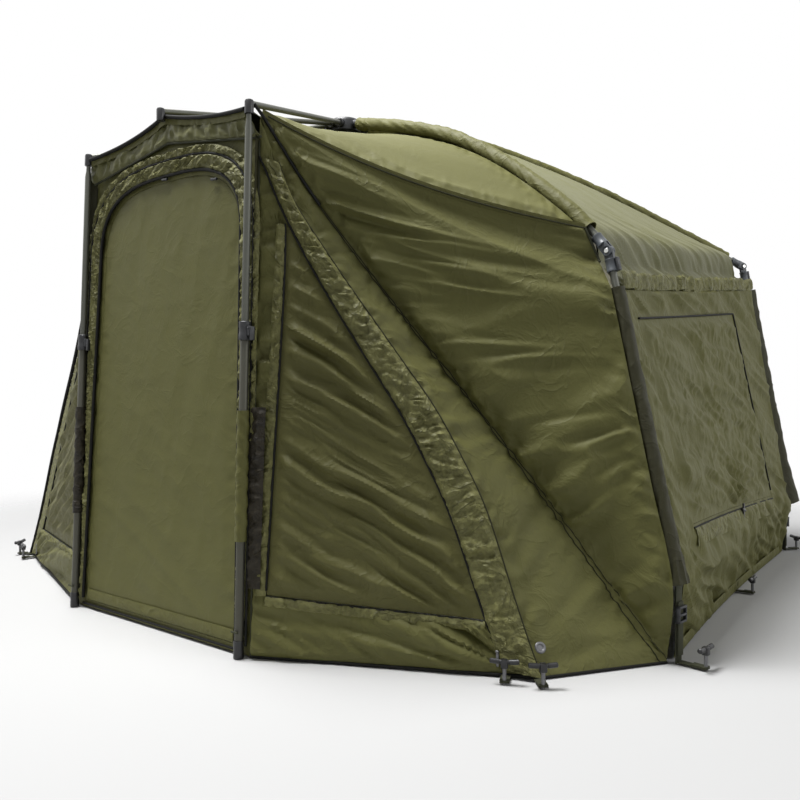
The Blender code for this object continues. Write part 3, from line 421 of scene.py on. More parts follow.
def fine_both_ways(rows, cell, creases):
    """A coarse grid of points made fine, to about one cell between neighbours."""
    down = refine(rows, even_counts(rows, cell), creases)
    across = down.transpose(1, 0, 2)
    return refine(across, even_counts(across, cell)).transpose(1, 0, 2)


def refine(points, counts, creases=()):
    """A smooth curve through points along the first axis, with counts[i] steps on stretch i."""
    points = np.asarray(points, float)
    last = len(points) - 1
    made = []
    for i in range(last):
        a, b = points[i], points[i + 1]
        before = points[i - 1] if i > 0 and i not in creases else None
        after = points[i + 2] if i + 2 <= last and i + 1 not in creases else None
        leave = (b - before) / 2 if before is not None else b - a
        arrive = (after - a) / 2 if after is not None else b - a
        for k in range(counts[i]):
            t = k / counts[i]
            made.append(
                a * (2 * t**3 - 3 * t**2 + 1)
                + b * (3 * t**2 - 2 * t**3)
                + leave * (t**3 - 2 * t**2 + t)
                + arrive * (t**3 - t**2)
            )
    made.append(points[last])
    return np.array(made)


def even_counts(points, step):
    """How many steps of about this length each stretch between points needs, at its widest."""
    points = np.asarray(points, float)
    lengths = np.linalg.norm(np.diff(points, axis=0), axis=-1)
    while lengths.ndim > 1:
        lengths = lengths.max(axis=-1)
    return [max(1, int(math.ceil(length / step))) for length in lengths]


def lifted(height):
    """The step straight up by a height."""
    return np.array([0.0, 0.0, height])


def unit(vectors):
    return vectors / np.maximum(np.linalg.norm(vectors, axis=-1, keepdims=True), 1e-12)


def normals_of(grid, inside=tuple(INSIDE)):
    """Outward normals of a grid, away from the middle of the shelter."""
    normal = unit(np.cross(np.gradient(grid, axis=0), np.gradient(grid, axis=1)))
    side = np.sum(normal * (grid - np.array(inside)))
    return normal if side > 0 else -normal


def raised(grid, amount, inside=tuple(INSIDE)):
    return grid + normals_of(grid, inside) * np.asarray(amount)[..., None]


def run_of(grid, axis):
    """The distance run along one axis of a grid, from its first row or column."""
    steps = np.linalg.norm(np.diff(grid, axis=axis), axis=-1)
    start = np.zeros_like(np.take(steps, [0], axis=axis))
    return np.concatenate([start, np.cumsum(steps, axis=axis)], axis=axis)


def smooth(low, high, x):
    t = np.clip((x - low) / (high - low), 0.0, 1.0)
    return t * t * (3 - 2 * t)


def noise(u, v, seed):
    """Smooth noise from -1 to 1 with cells one unit wide; the same seed gives the same folds."""
    table = np.random.default_rng(seed).uniform(-1, 1, (64, 64))
    i, j = np.floor(u).astype(int), np.floor(v).astype(int)
    fu, fv = u - i, v - j
    fu, fv = fu**3 * (fu * (fu * 6 - 15) + 10), fv**3 * (fv * (fv * 6 - 15) + 10)
    a, b = table[i % 64, j % 64], table[(i + 1) % 64, j % 64]
    c, d = table[i % 64, (j + 1) % 64], table[(i + 1) % 64, (j + 1) % 64]
    return (a * (1 - fu) + b * fu) * (1 - fv) + (c * (1 - fu) + d * fu) * fv


def folds(across, along, width, length, seed):
    """Long folds: narrow ridges of about this width, which start and end over about this length."""
    warp = noise(across / (width * 5), along / length, seed + 11)
    x = across / width + warp * 0.9
    coarse = noise(x, along / length, seed)
    finer = noise(x * 2.1 + 7.3, along / length * 1.6, seed + 5)
    ridge = 1.0 - np.abs(coarse) * 2.0
    return 0.62 * ridge + 0.38 * finer


def crinkles(across, along, size, seed):
    """Short sharp puckers with no one direction."""
    warp = noise(across / size / 3, along / size / 3, seed + 3)
    first = 1.0 - np.abs(noise(across / size + warp, along / size * 0.7, seed)) * 2.2
    second = noise(across / size * 2.3, along / size * 1.7, seed + 9)
    return 0.7 * first + 0.3 * second


# ---------------------------------------------------------------- meshes


def placed(name, data):
    """A new object in the scene for a mesh, curve, light or camera."""
    made = bpy.data.objects.new(name, data)
    bpy.context.scene.collection.objects.link(made)
    return made


def mesh_of(body, name):
    """The finished mesh of a bmesh, which is freed."""
    mesh = bpy.data.meshes.new(name)
    body.to_mesh(mesh)
    body.free()
    return mesh


def mesh_object(name, verts, faces, look, uvs=None, keen=math.radians(50)):
    """An object at the origin with these points and faces, shaded smoothly up to the keen angle."""
    mesh = bpy.data.meshes.new(name)
    mesh.from_pydata(np.asarray(verts).tolist(), [], [list(map(int, f)) for f in faces])
    mesh.polygons.foreach_set("use_smooth", [True] * len(mesh.polygons))
    if uvs is not None:
        layer = mesh.uv_layers.new(name="UVMap")
        layer.data.foreach_set("uv", np.asarray(uvs, np.float32).ravel())
    mesh.update()
    mesh.set_sharp_from_angle(angle=keen)
    mesh.materials.append(look)
    return placed(name, mesh)


def cloth_object(name, grid, look, thickness=CLOTH_THICKNESS, inside=tuple(INSIDE), ring=False):
    """A closed thin cloth: the grid is its outer side, with its rows joined end to end if it is a ring."""
    normal = normals_of(grid, inside)
    if ring:
        joint = unit(normal[:, 0] + normal[:, -1])
        normal[:, 0], normal[:, -1] = joint, joint
    rows, columns = grid.shape[:2]
    used = columns - 1 if ring else columns
    outer = grid[:, :used].reshape(-1, 3)
    inner = (grid - normal * thickness)[:, :used].reshape(-1, 3)
    uv = np.stack([run_of(grid, 1), run_of(grid, 0)], axis=-1)
    i, k = (part.ravel() for part in np.meshgrid(np.arange(rows - 1), np.arange(columns - 1), indexing="ij"))
    corners = [(i, k), (i, k + 1), (i + 1, k + 1), (i + 1, k)]
    raw = np.cross(np.gradient(grid, axis=0), np.gradient(grid, axis=1))
    straight = np.sum(raw * normal) > 0
    if straight:
        corners = corners[::-1]
    index = np.stack([a * used + b % used for a, b in corners], axis=1)
    spots = np.stack([uv[a, b] for a, b in corners], axis=1)
    shift = rows * used
    faces, loops = [index, index[:, ::-1] + shift], [spots, spots[:, ::-1]]
    rims = []
    across, down = np.arange(columns - 1), np.arange(rows - 1)
    for row in (0, rows - 1):
        edge = np.full_like(across, row)
        rims.append(((edge, across), (edge, across + 1), row == 0))
    for column in () if ring else (0, columns - 1):
        edge = np.full_like(down, column)
        rims.append(((down, edge), (down + 1, edge), column > 0))
    for (ai, ak), (bi, bk), first in rims:
        a, b = ai * used + ak % used, bi * used + bk % used
        quad = np.stack([a, b, b + shift, a + shift], axis=1)
        spot = np.stack([uv[ai, ak], uv[bi, bk], uv[bi, bk], uv[ai, ak]], axis=1)
        if first != straight:
            quad, spot = quad[:, ::-1], spot[:, ::-1]
        faces.append(quad)
        loops.append(spot)
    return mesh_object(name, np.concatenate([outer, inner]), np.concatenate(faces), look, np.concatenate(loops))


def on_side(grid, side):
    """Points of the right hand, as they stand on the given side."""
    return grid if side == "right" else grid * np.array([-1.0, 1.0, 1.0])


def hand_point(point, side):
    return Vector(point) if side == "right" else flipped(Vector(point))


def declare(grid, rests_on):
    """Works out what size the cloth was cut to, from the smooth grid that its folds were raised on, and keeps it
    nowhere.
    """
    width = round(float(run_of(grid, 1)[:, -1].max()), 3)
    length = round(float(run_of(grid, 0)[-1].max()), 3)
    across, down = np.diff(grid, axis=1)[:-1], np.diff(grid, axis=0)[:, :-1]
    area = float(np.linalg.norm(np.cross(across, down), axis=-1).sum())
    whole = width * length
    area = min(max(area, LEAST_AREA_SHARE * whole), whole)
    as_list(rests_on)


class Form:
    """Gathers turned and boxed forms into one mesh."""

    def __init__(self):
        self.body = bmesh.new()

    def turn(self, profile, place, sides=32):
        """A profile of radius and height turned about the place's own Z."""
        rings = []
        for radius, height in profile:
            if radius < 1e-7:
                rings.append([self.body.verts.new(place @ Vector((0.0, 0.0, height)))])
                continue
            ring = []
            for k in range(sides):
                angle = 2 * math.pi * k / sides
                spot = Vector((radius * math.cos(angle), radius * math.sin(angle), height))
                ring.append(self.body.verts.new(place @ spot))
            rings.append(ring)
        for lower, upper in zip(rings, rings[1:]):
            for k in range(sides):
                a, b = lower[k % len(lower)], lower[(k + 1) % len(lower)]
                c, d = upper[(k + 1) % len(upper)], upper[k % len(upper)]
                corners = list(dict.fromkeys((a, b, c, d)))
                if len(corners) > 2:
                    self.body.faces.new(corners)
        return self

    def rod(self, start, end, radius, sides=24, edge=0.0008):
        """A round bar with small chamfers at its ends."""
        way = Vector(end) - Vector(start)
        place = Matrix.Translation(Vector(start)) @ turned_to(way)
        length = way.length
        edge = min(edge, radius / 3, length / 3)
        profile = [
            (0.0, 0.0),
            (radius - edge, 0.0),
            (radius, edge),
            (radius, length - edge),
            (radius - edge, length),
            (0.0, length),
        ]
        return self.turn(profile, place, sides)

    def bar(self, place, start, end, radius, sides=24, edge=0.0008):
        """A rod between two points that are given in a place's own axes."""
        return self.rod(place @ Vector(start), place @ Vector(end), radius, sides, edge)

    def block(self, low, high, place=None, edge=0.001):
        """A box with rounded edges."""
        part = bmesh.new()
        bmesh.ops.create_cube(part, size=1.0)
        size = Vector(high) - Vector(low)
        bmesh.ops.scale(part, vec=size, verts=part.verts)
        bmesh.ops.translate(part, vec=(Vector(low) + Vector(high)) / 2, verts=part.verts)
        wide = min(edge, min(size) * 0.45)
        bmesh.ops.bevel(part, geom=list(part.edges), offset=wide, segments=2, profile=0.5, affect="EDGES")
        if place:
            bmesh.ops.transform(part, matrix=place, verts=part.verts)
        spare = mesh_of(part, "part")
        self.body.from_mesh(spare)
        bpy.data.meshes.remove(spare)
        return self

    def done(self, name, look, keen=math.radians(35)):
        bmesh.ops.recalc_face_normals(self.body, faces=self.body.faces)
        mesh = mesh_of(self.body, name)
        mesh.polygons.foreach_set("use_smooth", [True] * len(mesh.polygons))
        mesh.set_sharp_from_angle(angle=keen)
        mesh.materials.append(look)
        return placed(name, mesh)

    def piece(self, name, look, slot, node=None, body="root"):
        """The finished mesh as a piece of the object, with its node and body; its slot is not used."""
        return dress(self.done(name, LOOKS[look]), slot, node, body)


def turned_to(axis, across=None):
    """A rotation whose Z is the axis and whose Y lies along across, as far as it can."""
    up = Vector(axis).normalized()
    side = Vector(across) if across else up.orthogonal()
    forward = (side - up * side.dot(up)).normalized()
    return Matrix((forward.cross(up), forward, up)).transposed().to_4x4()


def mirrored(source, name):
    """The other hand of a finished piece."""
    mesh = source.data.copy()
    mesh.transform(Matrix.Scale(-1.0, 4, Vector((1.0, 0.0, 0.0))))
    mesh.flip_normals()
    mesh.name = name
    return placed(name, mesh)


def joined(name, pieces):
    """Several finished pieces as one mesh."""
    body = bmesh.new()
    looks = []
    for piece in pieces:
        look = piece.data.materials[0]
        if look not in looks:
            looks.append(look)
        first = len(body.faces)
        body.from_mesh(piece.data)
        body.faces.ensure_lookup_table()
        for face in body.faces[first:]:
            face.material_index = looks.index(look)
        bpy.data.objects.remove(piece)
    mesh = mesh_of(body, name)
    for look in looks:
        mesh.materials.append(look)
    return placed(name, mesh)


# ---------------------------------------------------------------- nodes


class Number:
    """A socket that carries a number; arithmetic on it adds Math nodes."""

    def __init__(self, graph, socket):
        self.graph, self.socket = graph, socket

    def __add__(self, other):
        return self.graph.math("ADD", self, other)

    def __radd__(self, other):
        return self.graph.math("ADD", other, self)

    def __sub__(self, other):
        return self.graph.math("SUBTRACT", self, other)

    def __rsub__(self, other):
        return self.graph.math("SUBTRACT", other, self)

    def __mul__(self, other):
        return self.graph.math("MULTIPLY", self, other)

    def __rmul__(self, other):
        return self.graph.math("MULTIPLY", other, self)

    def __truediv__(self, other):
        return self.graph.math("DIVIDE", self, other)

    def __pow__(self, other):
        return self.graph.math("POWER", self, other)


class Graph:
    """A node tree, and the one way to add a node to it."""

    def __init__(self, tree):
        self.tree = tree

    def add(self, kind, settings=None, inputs=None, out=0):
        """Adds a node, with its settings first and then its values and links."""
        node = self.tree.nodes.new(kind)
        for key, value in (settings or {}).items():
            setattr(node, key, value)
        for key, value in (inputs or {}).items():
            if isinstance(value, Number):
                self.tree.links.new(value.socket, node.inputs[key])
            else:
                node.inputs[key].default_value = value
        return Number(self, node.outputs[out])

    def math(self, operation, *values):
        return self.add("ShaderNodeMath", {"operation": operation}, dict(enumerate(values)))


class Look(Graph):
    """A procedural material: constants go on the shader, and what varies is linked to it."""

    def __init__(self, name, constants):
        self.material = bpy.data.materials.new(name)
        self.material.use_nodes = True
        super().__init__(self.material.node_tree)
        self.tree.nodes.clear()
        self.shader = self.tree.nodes.new("ShaderNodeBsdfPrincipled")
        output = self.tree.nodes.new("ShaderNodeOutputMaterial")
        self.tree.links.new(self.shader.outputs["BSDF"], output.inputs["Surface"])
        for key, value in constants.items():
            self.shader.inputs[key].default_value = value
        self.object_place = self.add("ShaderNodeTexCoord", out="Object")
        self.uv_place = self.add("ShaderNodeTexCoord", out="UV")

    def link(self, key, value):
        self.tree.links.new(value.socket, self.shader.inputs[key])

    def noise(self, scale, detail=3.0, place=None, roughness=0.55, distortion=0.0):
        values = {"Vector": place or self.object_place, "Scale": scale, "Detail": detail}
        return self.add("ShaderNodeTexNoise", inputs=values | {"Roughness": roughness, "Distortion": distortion})

    def bands(self, direction, place, scale, distortion, detail, **settings):
        """Even waves across one direction."""
        values = {"Vector": place, "Scale": scale, "Distortion": distortion, "Detail": detail}
        settings = {"wave_type": "BANDS", "bands_direction": direction, **settings}
        return self.add("ShaderNodeTexWave", settings, values, 1)

    def tint(self, colour, dark, light, share):
        """A colour between a darker and a lighter shade of itself."""
        first, second = (tuple(min(1.0, c * k) for c in colour) + (1.0,) for k in (dark, light))
        return self.add("ShaderNodeMix", {"data_type": "RGBA"}, {0: share, 6: first, 7: second}, 2)

    def bump(self, height, distance, strength=1.0, under=None):
        values = {"Height": height, "Distance": distance, "Strength": strength}
        return self.add("ShaderNodeBump", inputs=values | ({"Normal": under} if under else {}))


LOOKS = {}


def cloth_look(name, colour, crumple, roughness=0.62, spread=(0.84, 1.16), painted_highlight_and_shade=0.0):
    """Coated woven polyester: a fine weave, soft crumples with thin creases, and a slight sheen; where asked, painted
    highlights and crease shade in its colour.
    """
    look = Look(name, {"Specular IOR Level": 0.28})
    slow, middle = look.noise(2.2, 2.0), look.noise(17.0, 3.0, distortion=0.4)
    speck = look.noise(420.0, 1.0, place=look.uv_place)
    tone = slow * 0.45 + middle * 0.35 + speck * 0.20
    # Painted light and shade: a patchy noise lightens and darkens the base colour, standing in for highlights on the
    # puckers and shade in their creases.
    if painted_highlight_and_shade:
        gathers = look.noise(58.0, 3.0, distortion=0.6)
        tone = (gathers - 0.5) * painted_highlight_and_shade + tone
    look.link("Base Color", look.tint(colour, *spread, tone))
    look.link("Roughness", middle * 0.16 + (roughness - 0.08))
    scale = 0.314 / THREAD_PITCH
    warp, weft = (look.bands(way, look.uv_place, scale, 0.0, 0.0, wave_profile="SIN") for way in "XY")
    weave = look.bump(warp * weft, 0.00012, 0.35)
    crumpled = look.noise(26.0, 4.0, distortion=1.2, roughness=0.5)
    fine = look.noise(95.0, 3.0, distortion=0.8)
    wide = look.noise(9.0, 4.0, distortion=1.1, roughness=0.5) * 2.0 - 1.0
    crease = (1.0 - look.math("ABSOLUTE", wide)) ** 9.0
    height = crumpled * 0.5 + fine * 0.22 + crease * 0.38
    look.link("Normal", look.bump(height, crumple * 1.6, 0.9, weave))
    return look.material


def finished(look, colour, shades, tone, rough, relief, depth, strength):
    """Ties a look's shades, roughness and relief to its textures: rough holds a texture, its share and a base."""
    look.link("Base Color", look.tint(tuple(colour), *shades, tone))
    texture, share, base = rough
    look.link("Roughness", texture * share + base)
    look.link("Normal", look.bump(relief, depth, strength))
    return look.material


def make_looks():
    """Fills LOOKS with the cloths, cords, tubes, mouldings and steels."""
    cloth, metal = bpy.context.scene.bivvy_cloth, bpy.context.scene.bivvy_fittings
    for key, name, colour, *rest in (
        ("cloth", "olive_cloth", cloth.cloth_colour, 0.0022),
        ("taut", "taut_olive_cloth", cloth.cloth_colour, 0.0007),
        ("cover", "cover_cloth", cloth.cover_colour, 0.0034),
        # Sleeves: the olive darkened as painted shade.
        ("sleeve", "sleeve_cloth", cloth.painted_shade_sleeve_colour, 0.0022),
        # Crinkled bands: a colour lighter than the cloth as a painted highlight on the bulging bands, with a wide tint
        # for painted highlights and crease shade.
        ("crinkled", "crinkled_cloth", cloth.band_colour_with_painted_highlight, 0.0100, 0.55, (0.60, 1.42), 1.7),
        # Wraps: a dark colour that is painted shade on the wraps' faces turned from the light, with a wide tint for
        # painted highlights and crease shade.
        ("wrap", "wrap_cloth", cloth.painted_shade_wrap_colour, 0.0080, 0.60, (0.3, 1.8), 2.0),
        ("pale", "pale_lining", cloth.lining_colour, 0.0010, 0.60),
        ("lining", "roof_cloth", cloth.roof_colour, 0.0010, 0.50),
    ):
        LOOKS[key] = cloth_look(name, tuple(colour), *rest)

    # The seam cords are dark for their thread and, beyond it, as painted shade of the groove along each seam.
    cords = {"piping": metal.piping_colour, "webbing": cloth.webbing_colour, "seam": cloth.seam_thread_and_groove_shade_colour}
    for key, colour in cords.items():
        look = Look(key, {"Specular IOR Level": 0.2})
        grain = look.noise(160.0, 3.0)
        wave = look.bands("DIAGONAL", look.object_place, 160.0, 1.0, 1.0)
        LOOKS[key] = finished(look, colour, (0.75, 1.35), grain, (grain, 0.2, 0.6), wave, 0.0003, 0.5)

    for key, colour in (("tube", metal.tube_colour), ("low_tube", metal.low_tube_colour)):
        look = Look("satin_" + key, {"Specular IOR Level": 0.5})
        along = look.add("ShaderNodeMapping", inputs={"Vector": look.object_place, "Scale": (9.0, 9.0, 0.4)})
        brushed, rubbed = look.noise(40.0, 4.0, place=along), look.noise(9.0, 4.0, distortion=0.6)
        look.link("Metallic", rubbed * 0.1 + 0.45)
        tone, rough = brushed * 0.6 + rubbed * 0.4, (brushed, 0.22, 0.34)
        LOOKS[key] = finished(look, colour, (0.8, 1.2), tone, rough, brushed, 0.0001, 0.4)

    for key, colour, rough in (
        ("plastic", metal.plastic_colour, 0.32),
        ("elbow", metal.elbow_colour, 0.28),
        ("cap", metal.cap_colour, 0.26),
    ):
        look = Look(key + "_moulded", {"Specular IOR Level": 0.5})
        grain, worn = look.noise(900.0, 2.0), look.noise(55.0, 4.0, distortion=0.5)
        LOOKS[key] = finished(look, colour, (0.8, 1.5), worn, (worn, 0.2, rough), grain, 0.0001, 0.5)

    for key, name, metallic, scale, colour, shades, rough, depth in (
        ("steel", "bright_steel", 1.0, 120.0, (0.62, 0.62, 0.60), (0.8, 1.15), (0.2, 0.2), 0.00008),
        ("steel_dark", "dark_steel", 0.6, 90.0, (0.16, 0.16, 0.165), (0.7, 1.25), (0.25, 0.3), 0.0001),
    ):
        look = Look(name, {"Metallic": metallic})
        streak = look.noise(scale, 3.0)
        LOOKS[key] = finished(look, colour, shades, streak, (streak, *rough), streak, depth, 0.4)


# ---------------------------------------------------------------- geometry node trees


def start_group(name, inputs):
    """A geometry tree that takes a curve and these inputs: its graph, and the way to reach an input."""
    tree = bpy.data.node_groups.new(name, "GeometryNodeTree")
    for label, kind in {"Geometry": "Geometry", **inputs}.items():
        tree.interface.new_socket(label, in_out="INPUT", socket_type="NodeSocket" + kind)
    tree.interface.new_socket("Geometry", in_out="OUTPUT", socket_type="NodeSocketGeometry")
    graph = Graph(tree)
    node = tree.nodes.new("NodeGroupInput")
    return graph, lambda label: Number(graph, node.outputs[label])


def finish_group(graph, shape, source):
    """Ends a geometry tree with a plain mesh in the given material, shaded smoothly."""
    real = graph.add("GeometryNodeRealizeInstances", inputs={"Geometry": shape})
    dressed = graph.add("GeometryNodeSetMaterial", inputs={"Geometry": real, "Material": source("Material")})
    smooth_of = graph.add("GeometryNodeSetShadeSmooth", inputs={"Geometry": dressed})
    output = graph.tree.nodes.new("NodeGroupOutput")
    graph.tree.links.new(smooth_of.socket, output.inputs[0])
    return graph.tree


def tube_group():
    """A round cord of a given radius along a curve, with closed ends."""
    graph, source = start_group("tube_along", {"Radius": "Float", "Sides": "Int", "Material": "Material"})
    size = {"Resolution": source("Sides"), "Radius": source("Radius")}
    ring = graph.add("GeometryNodeCurvePrimitiveCircle", inputs=size)
    parts = {"Curve": source("Geometry"), "Profile Curve": ring, "Fill Caps": True}
    return finish_group(graph, graph.add("GeometryNodeCurveToMesh", inputs=parts), source)


def bead_group():
    """Small rounded beads at equal distances along a curve, as stitches are."""
    graph, source = start_group("beads_along", {"Spacing": "Float", "Size": "Vector", "Material": "Material"})
    values = {"Curve": source("Geometry"), "Length": source("Spacing")}
    points = graph.add("GeometryNodeCurveToPoints", {"mode": "LENGTH"}, values)
    bead = graph.add("GeometryNodeMeshIcoSphere", inputs={"Radius": 1.0, "Subdivisions": 1})
    turn = Number(graph, points.socket.node.outputs["Rotation"])
    parts = {"Points": points, "Instance": bead, "Rotation": turn, "Scale": source("Size")}
    return finish_group(graph, graph.add("GeometryNodeInstanceOnPoints", inputs=parts), source)


def follow(name, lines, tree, values):
    """A plain mesh made by a geometry tree along one or more lines of points."""
    curve = bpy.data.curves.new(name, "CURVE")
    curve.dimensions = "3D"
    for line in lines:
        spline = curve.splines.new("POLY")
        spline.points.add(len(line) - 1)
        spline.points.foreach_set("co", [v for p in line for v in (p[0], p[1], p[2], 1.0)])
    source = placed(name + "_line", curve)
    modifier = source.modifiers.new("along", "NODES")
    modifier.node_group = tree
    sockets = {item.name: item.identifier for item in tree.interface.items_tree if item.in_out == "INPUT"}
    for label, value in values.items():
        modifier[sockets[label]] = value
    graph = bpy.context.evaluated_depsgraph_get()
    mesh = bpy.data.meshes.new_from_object(source.evaluated_get(graph))
    mesh.name = name
    bpy.data.objects.remove(source)
    return placed(name, mesh)


TREES = {}


def cord_along(name, lines, radius, look, sides=8):
    return follow(name, lines, TREES["tube"], {"Radius": radius, "Sides": sides, "Material": LOOKS[look]})


def stitches(name, lines):
    """Rows of small thread beads."""
    values = {"Spacing": 0.0050, "Size": (0.0005, 0.0005, 0.0014), "Material": LOOKS["webbing"]}
    return follow(name, lines, TREES["beads"], values)


# ---------------------------------------------------------------- cloths


def wrinkle_share():
    return bpy.context.scene.bivvy_cloth.wrinkles


def step():
    return bpy.context.scene.bivvy_cloth.cell


def cells(length):
    """How many cells of the cloth's mesh a length holds."""
    return int(length / step())


def front_rays(side, columns):
    """The cloth between peak corner, front rib, leg and wing corner, as fine rays from the peak corner."""
    edge = FRONT.cloth_edge(-1.0)
    way = peak_direction(PEAK)
    aside = Vector((-way.y, way.x, 0.0)).normalized() * SEAM_GAP
    near_hub = hub_face(way, PANEL_START) + aside - Vector((0.0, 0.0, PEAK_DROP))
    foot = edge[-1]
    hem = [foot.lerp(WING_CORNERS[side], i / HEM_STEPS) for i in range(1, HEM_STEPS + 1)]
    roof = len(edge) - HEM_STEPS - 3
    sags = ramp(0.0, ROOF_SAG, roof + 1) + ramp(ROOF_SAG, FOOT_SEAM_SAG, len(edge) - roof)
    sags += ramp(FOOT_SEAM_SAG, GORE_SAG, HEM_STEPS + 1)[1:]
    bows = [0.0] * (len(edge) - 1) + ramp(0.0, 1.0, HEM_STEPS + 2)
    corner = peak_corner()
    rays = []
    for point, sag, bow in zip([near_hub] + edge + hem, sags, bows):
        inward = (INSIDE - (corner + point) / 2).normalized()
        sideways = bow_way(corner, point)
        ray = []
        for i in range(columns + 1):
            along = APEX_SHARE + (1.0 - APEX_SHARE) * i / columns
            dip = 4.0 * along * (1.0 - along) * sag
            ray.append(corner.lerp(point, along) + inward * dip + sideways * (bow * smooth_seam_bow(along)))
        rays.append(ray)
    grid = np.array([[tuple(p) for p in ray] for ray in rays])
    along = np.linspace(APEX_SHARE, 1.0, columns + 1)
    for i in range(len(grid)):
        if i <= roof:
            seam_share = smooth(0, roof, i)
        else:
            seam_share = smooth(len(edge), roof, i)
        hub_share = smooth(roof * 0.7, 0, i)
        grid[i, :, 2] -= seam_share * SEAM_DROP * np.sin(math.pi * along**0.85)
        grid[i, :, 2] -= hub_share * HUB_DROP * smooth(0.0, 0.30, along)
    return grid, roof


def wing_place(side):
    """Finds points on a wing by shares: out along its foot, and down from the peak corner."""
    corner = WING_CORNERS[side]
    inner = Vector((WALL_HALF_WIDTH + WALL_GAP, wall_y(HEM_LIFT), HEM_LIFT))
    outer = corner - (corner - inner).normalized() * GORE_GAP
    apex = peak_corner() + Vector((WALL_GAP, 0.0, -GORE_GAP * 2))
    sideways = bow_way(peak_corner(), corner)

    def place(out, down):
        across = out / max(down, 1e-6)
        foot = inner.lerp(outer, across)
        inward = (INSIDE - (apex + foot) / 2).normalized()
        dip = 4.0 * down * (1.0 - down) * GORE_SAG * across
        return apex.lerp(foot, down) + inward * dip + sideways * (smooth_seam_bow(down) * across * across)

    return place


WALL_ENDS = (FRONT.cloth_edge(1.0)[-HEM_STEPS - 2 :], REAR.cloth_edge(-1.0)[-HEM_STEPS - 2 :])


def wall_place(across, down):
    """A point on the side wall: across from front leg to rear leg, and down from the eave to the hem."""
    first, second = WALL_ENDS
    spot = down * (len(first) - 1)
    row = min(int(spot), len(first) - 2)
    return between(
        first[row].lerp(first[row + 1], spot - row), second[row].lerp(second[row + 1], spot - row), across, WALL_SAG
    )


HEM_MIDDLE = wall_place(0.5, 1.0)


def quad_grid(corners, place, rows, columns):
    """A fine grid over four corner shares of a surface."""
    first, second, third, fourth = (Vector(corner) for corner in corners)
    made = np.zeros((rows + 1, columns + 1, 3))
    for i in range(rows + 1):
        left, right = first.lerp(fourth, i / rows), second.lerp(third, i / rows)
        for k in range(columns + 1):
            made[i, k] = place(*left.lerp(right, k / columns))
    return made


def ring_grid(corners, outer, place, rows, columns):
    """A ring of cloth between four corner shares and an outer outline, as rows from the opening outwards."""
    corners, outer = [Vector(corner) for corner in corners], [Vector(corner) for corner in outer]
    made = np.zeros((rows + 1, 4 * columns + 1, 3))
    for k in range(4 * columns + 1):
        first, along = (k // columns) % 4, (k % columns) / columns
        second = (first + 1) % 4
        near, far = corners[first].lerp(corners[second], along), outer[first].lerp(outer[second], along)
        for i in range(rows + 1):
            made[i, k] = place(*near.lerp(far, i / rows))
    return made


def grown(corners, place, by):
    """The corner shares moved out along both of their edges by the given length."""
    moved = []
    for i, corner in enumerate(corners):
        spot = Vector(corner)
        for other in (corners[i - 1], corners[(i + 1) % len(corners)]):
            length = (place(*corner) - place(*other)).length
            spot += (Vector(corner) - Vector(other)) * (by / length)
        moved.append(spot)
    return moved


def edge_hold(grid, width, sides="lrtb"):
    """0 at the named sides of a grid and 1 from this width inwards."""
    across, down = run_of(grid, 1), run_of(grid, 0)
    hold = np.ones(across.shape)
    for side, reach in (("l", across), ("r", across[:, -1:] - across), ("t", down), ("b", down[-1:] - down)):
        if side in sides:
            hold = hold * smooth(0, width, reach)
    return hold


def line_on(grid_line, lift):
    """A line of points lifted away from the middle of the shelter."""
    line = np.asarray(grid_line, float)
    return line + unit(line - np.array(INSIDE)) * lift


def even_line(line, pitch):
    """The line again, as points at about this distance along it."""
    return spaced(line, max(2, int(run_along(line)[1][-1] / pitch)))


def band(
    name,
    first,
    second,
    look,
    lift,
    depth,
    size,
    seed,
    across,
    pitch,
    rests_on,
    bulge=0.0,
    clear=0.0,
    slot="cloth",
    body="root",
):
    """A strip of cloth between two lines of points, raised off the cloth below and puckered across."""
    pitch = max(pitch, step() * 0.6)
    count = max(len(even_line(first, pitch)), len(even_line(second, pitch))) - 1
    near, far = spaced(first, count)[:, None], spaced(second, count)[:, None]
    share = np.linspace(0.0, 1.0, across + 1)[None, :, None]
    flat = raised(near * (1 - share) + far * share, np.full((count + 1, across + 1), lift))
    along, over = run_of(flat, 0), run_of(flat, 1)
    width = over[:, -1:]
    hold = smooth(0, 0.18, over / width) * smooth(0, 0.18, 1 - over / width)
    puckers = folds(along, over, size, width.max() * 1.1, seed) * 0.75
    puckers = puckers + crinkles(along, over, size * 0.8, seed + 4) * 0.5
    grid = raised(flat, (puckers + 0.7) * depth * (0.25 + 0.75 * hold) + bulge * hold)
    if clear:
        grid = behind_poles(grid, clear)
    made = cloth_object(name, grid, LOOKS[look], thickness=STRIP_THICKNESS)
    declare(grid, rests_on)
    return dress(made, slot, body=body)


def behind_poles(grid, clear):
    """The grid again, with what comes nearer than this to a pole's axis drawn back behind the pole."""
    share = grid[..., 2] / PEAK_HEIGHT
    aside = np.abs(grid[..., 0]) - (POLE_SPREAD + (PEAK_SPREAD - POLE_SPREAD) * share)
    back = FRONT_LINE + (PEAK_Y - FRONT_LINE) * share + np.sqrt(np.maximum(clear**2 - aside**2, 0.0))
    moved = grid.copy()
    moved[..., 1] = np.where(np.abs(aside) < clear, np.maximum(grid[..., 1], back), grid[..., 1])
    return moved


def place_line(place, first, second, count=60):
    """Points on a surface between two of its shares."""
    first, second = Vector(first), Vector(second)
    return np.array([tuple(place(*first.lerp(second, i / count))) for i in range(count + 1)])


def dress(obj, slot, node=None, body="root"):
    """Hides the node that a piece stands for and hangs it on the body it rides; its slot is not used."""
    if node:
        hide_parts(node)
    if body:
        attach(obj, body)
    return obj


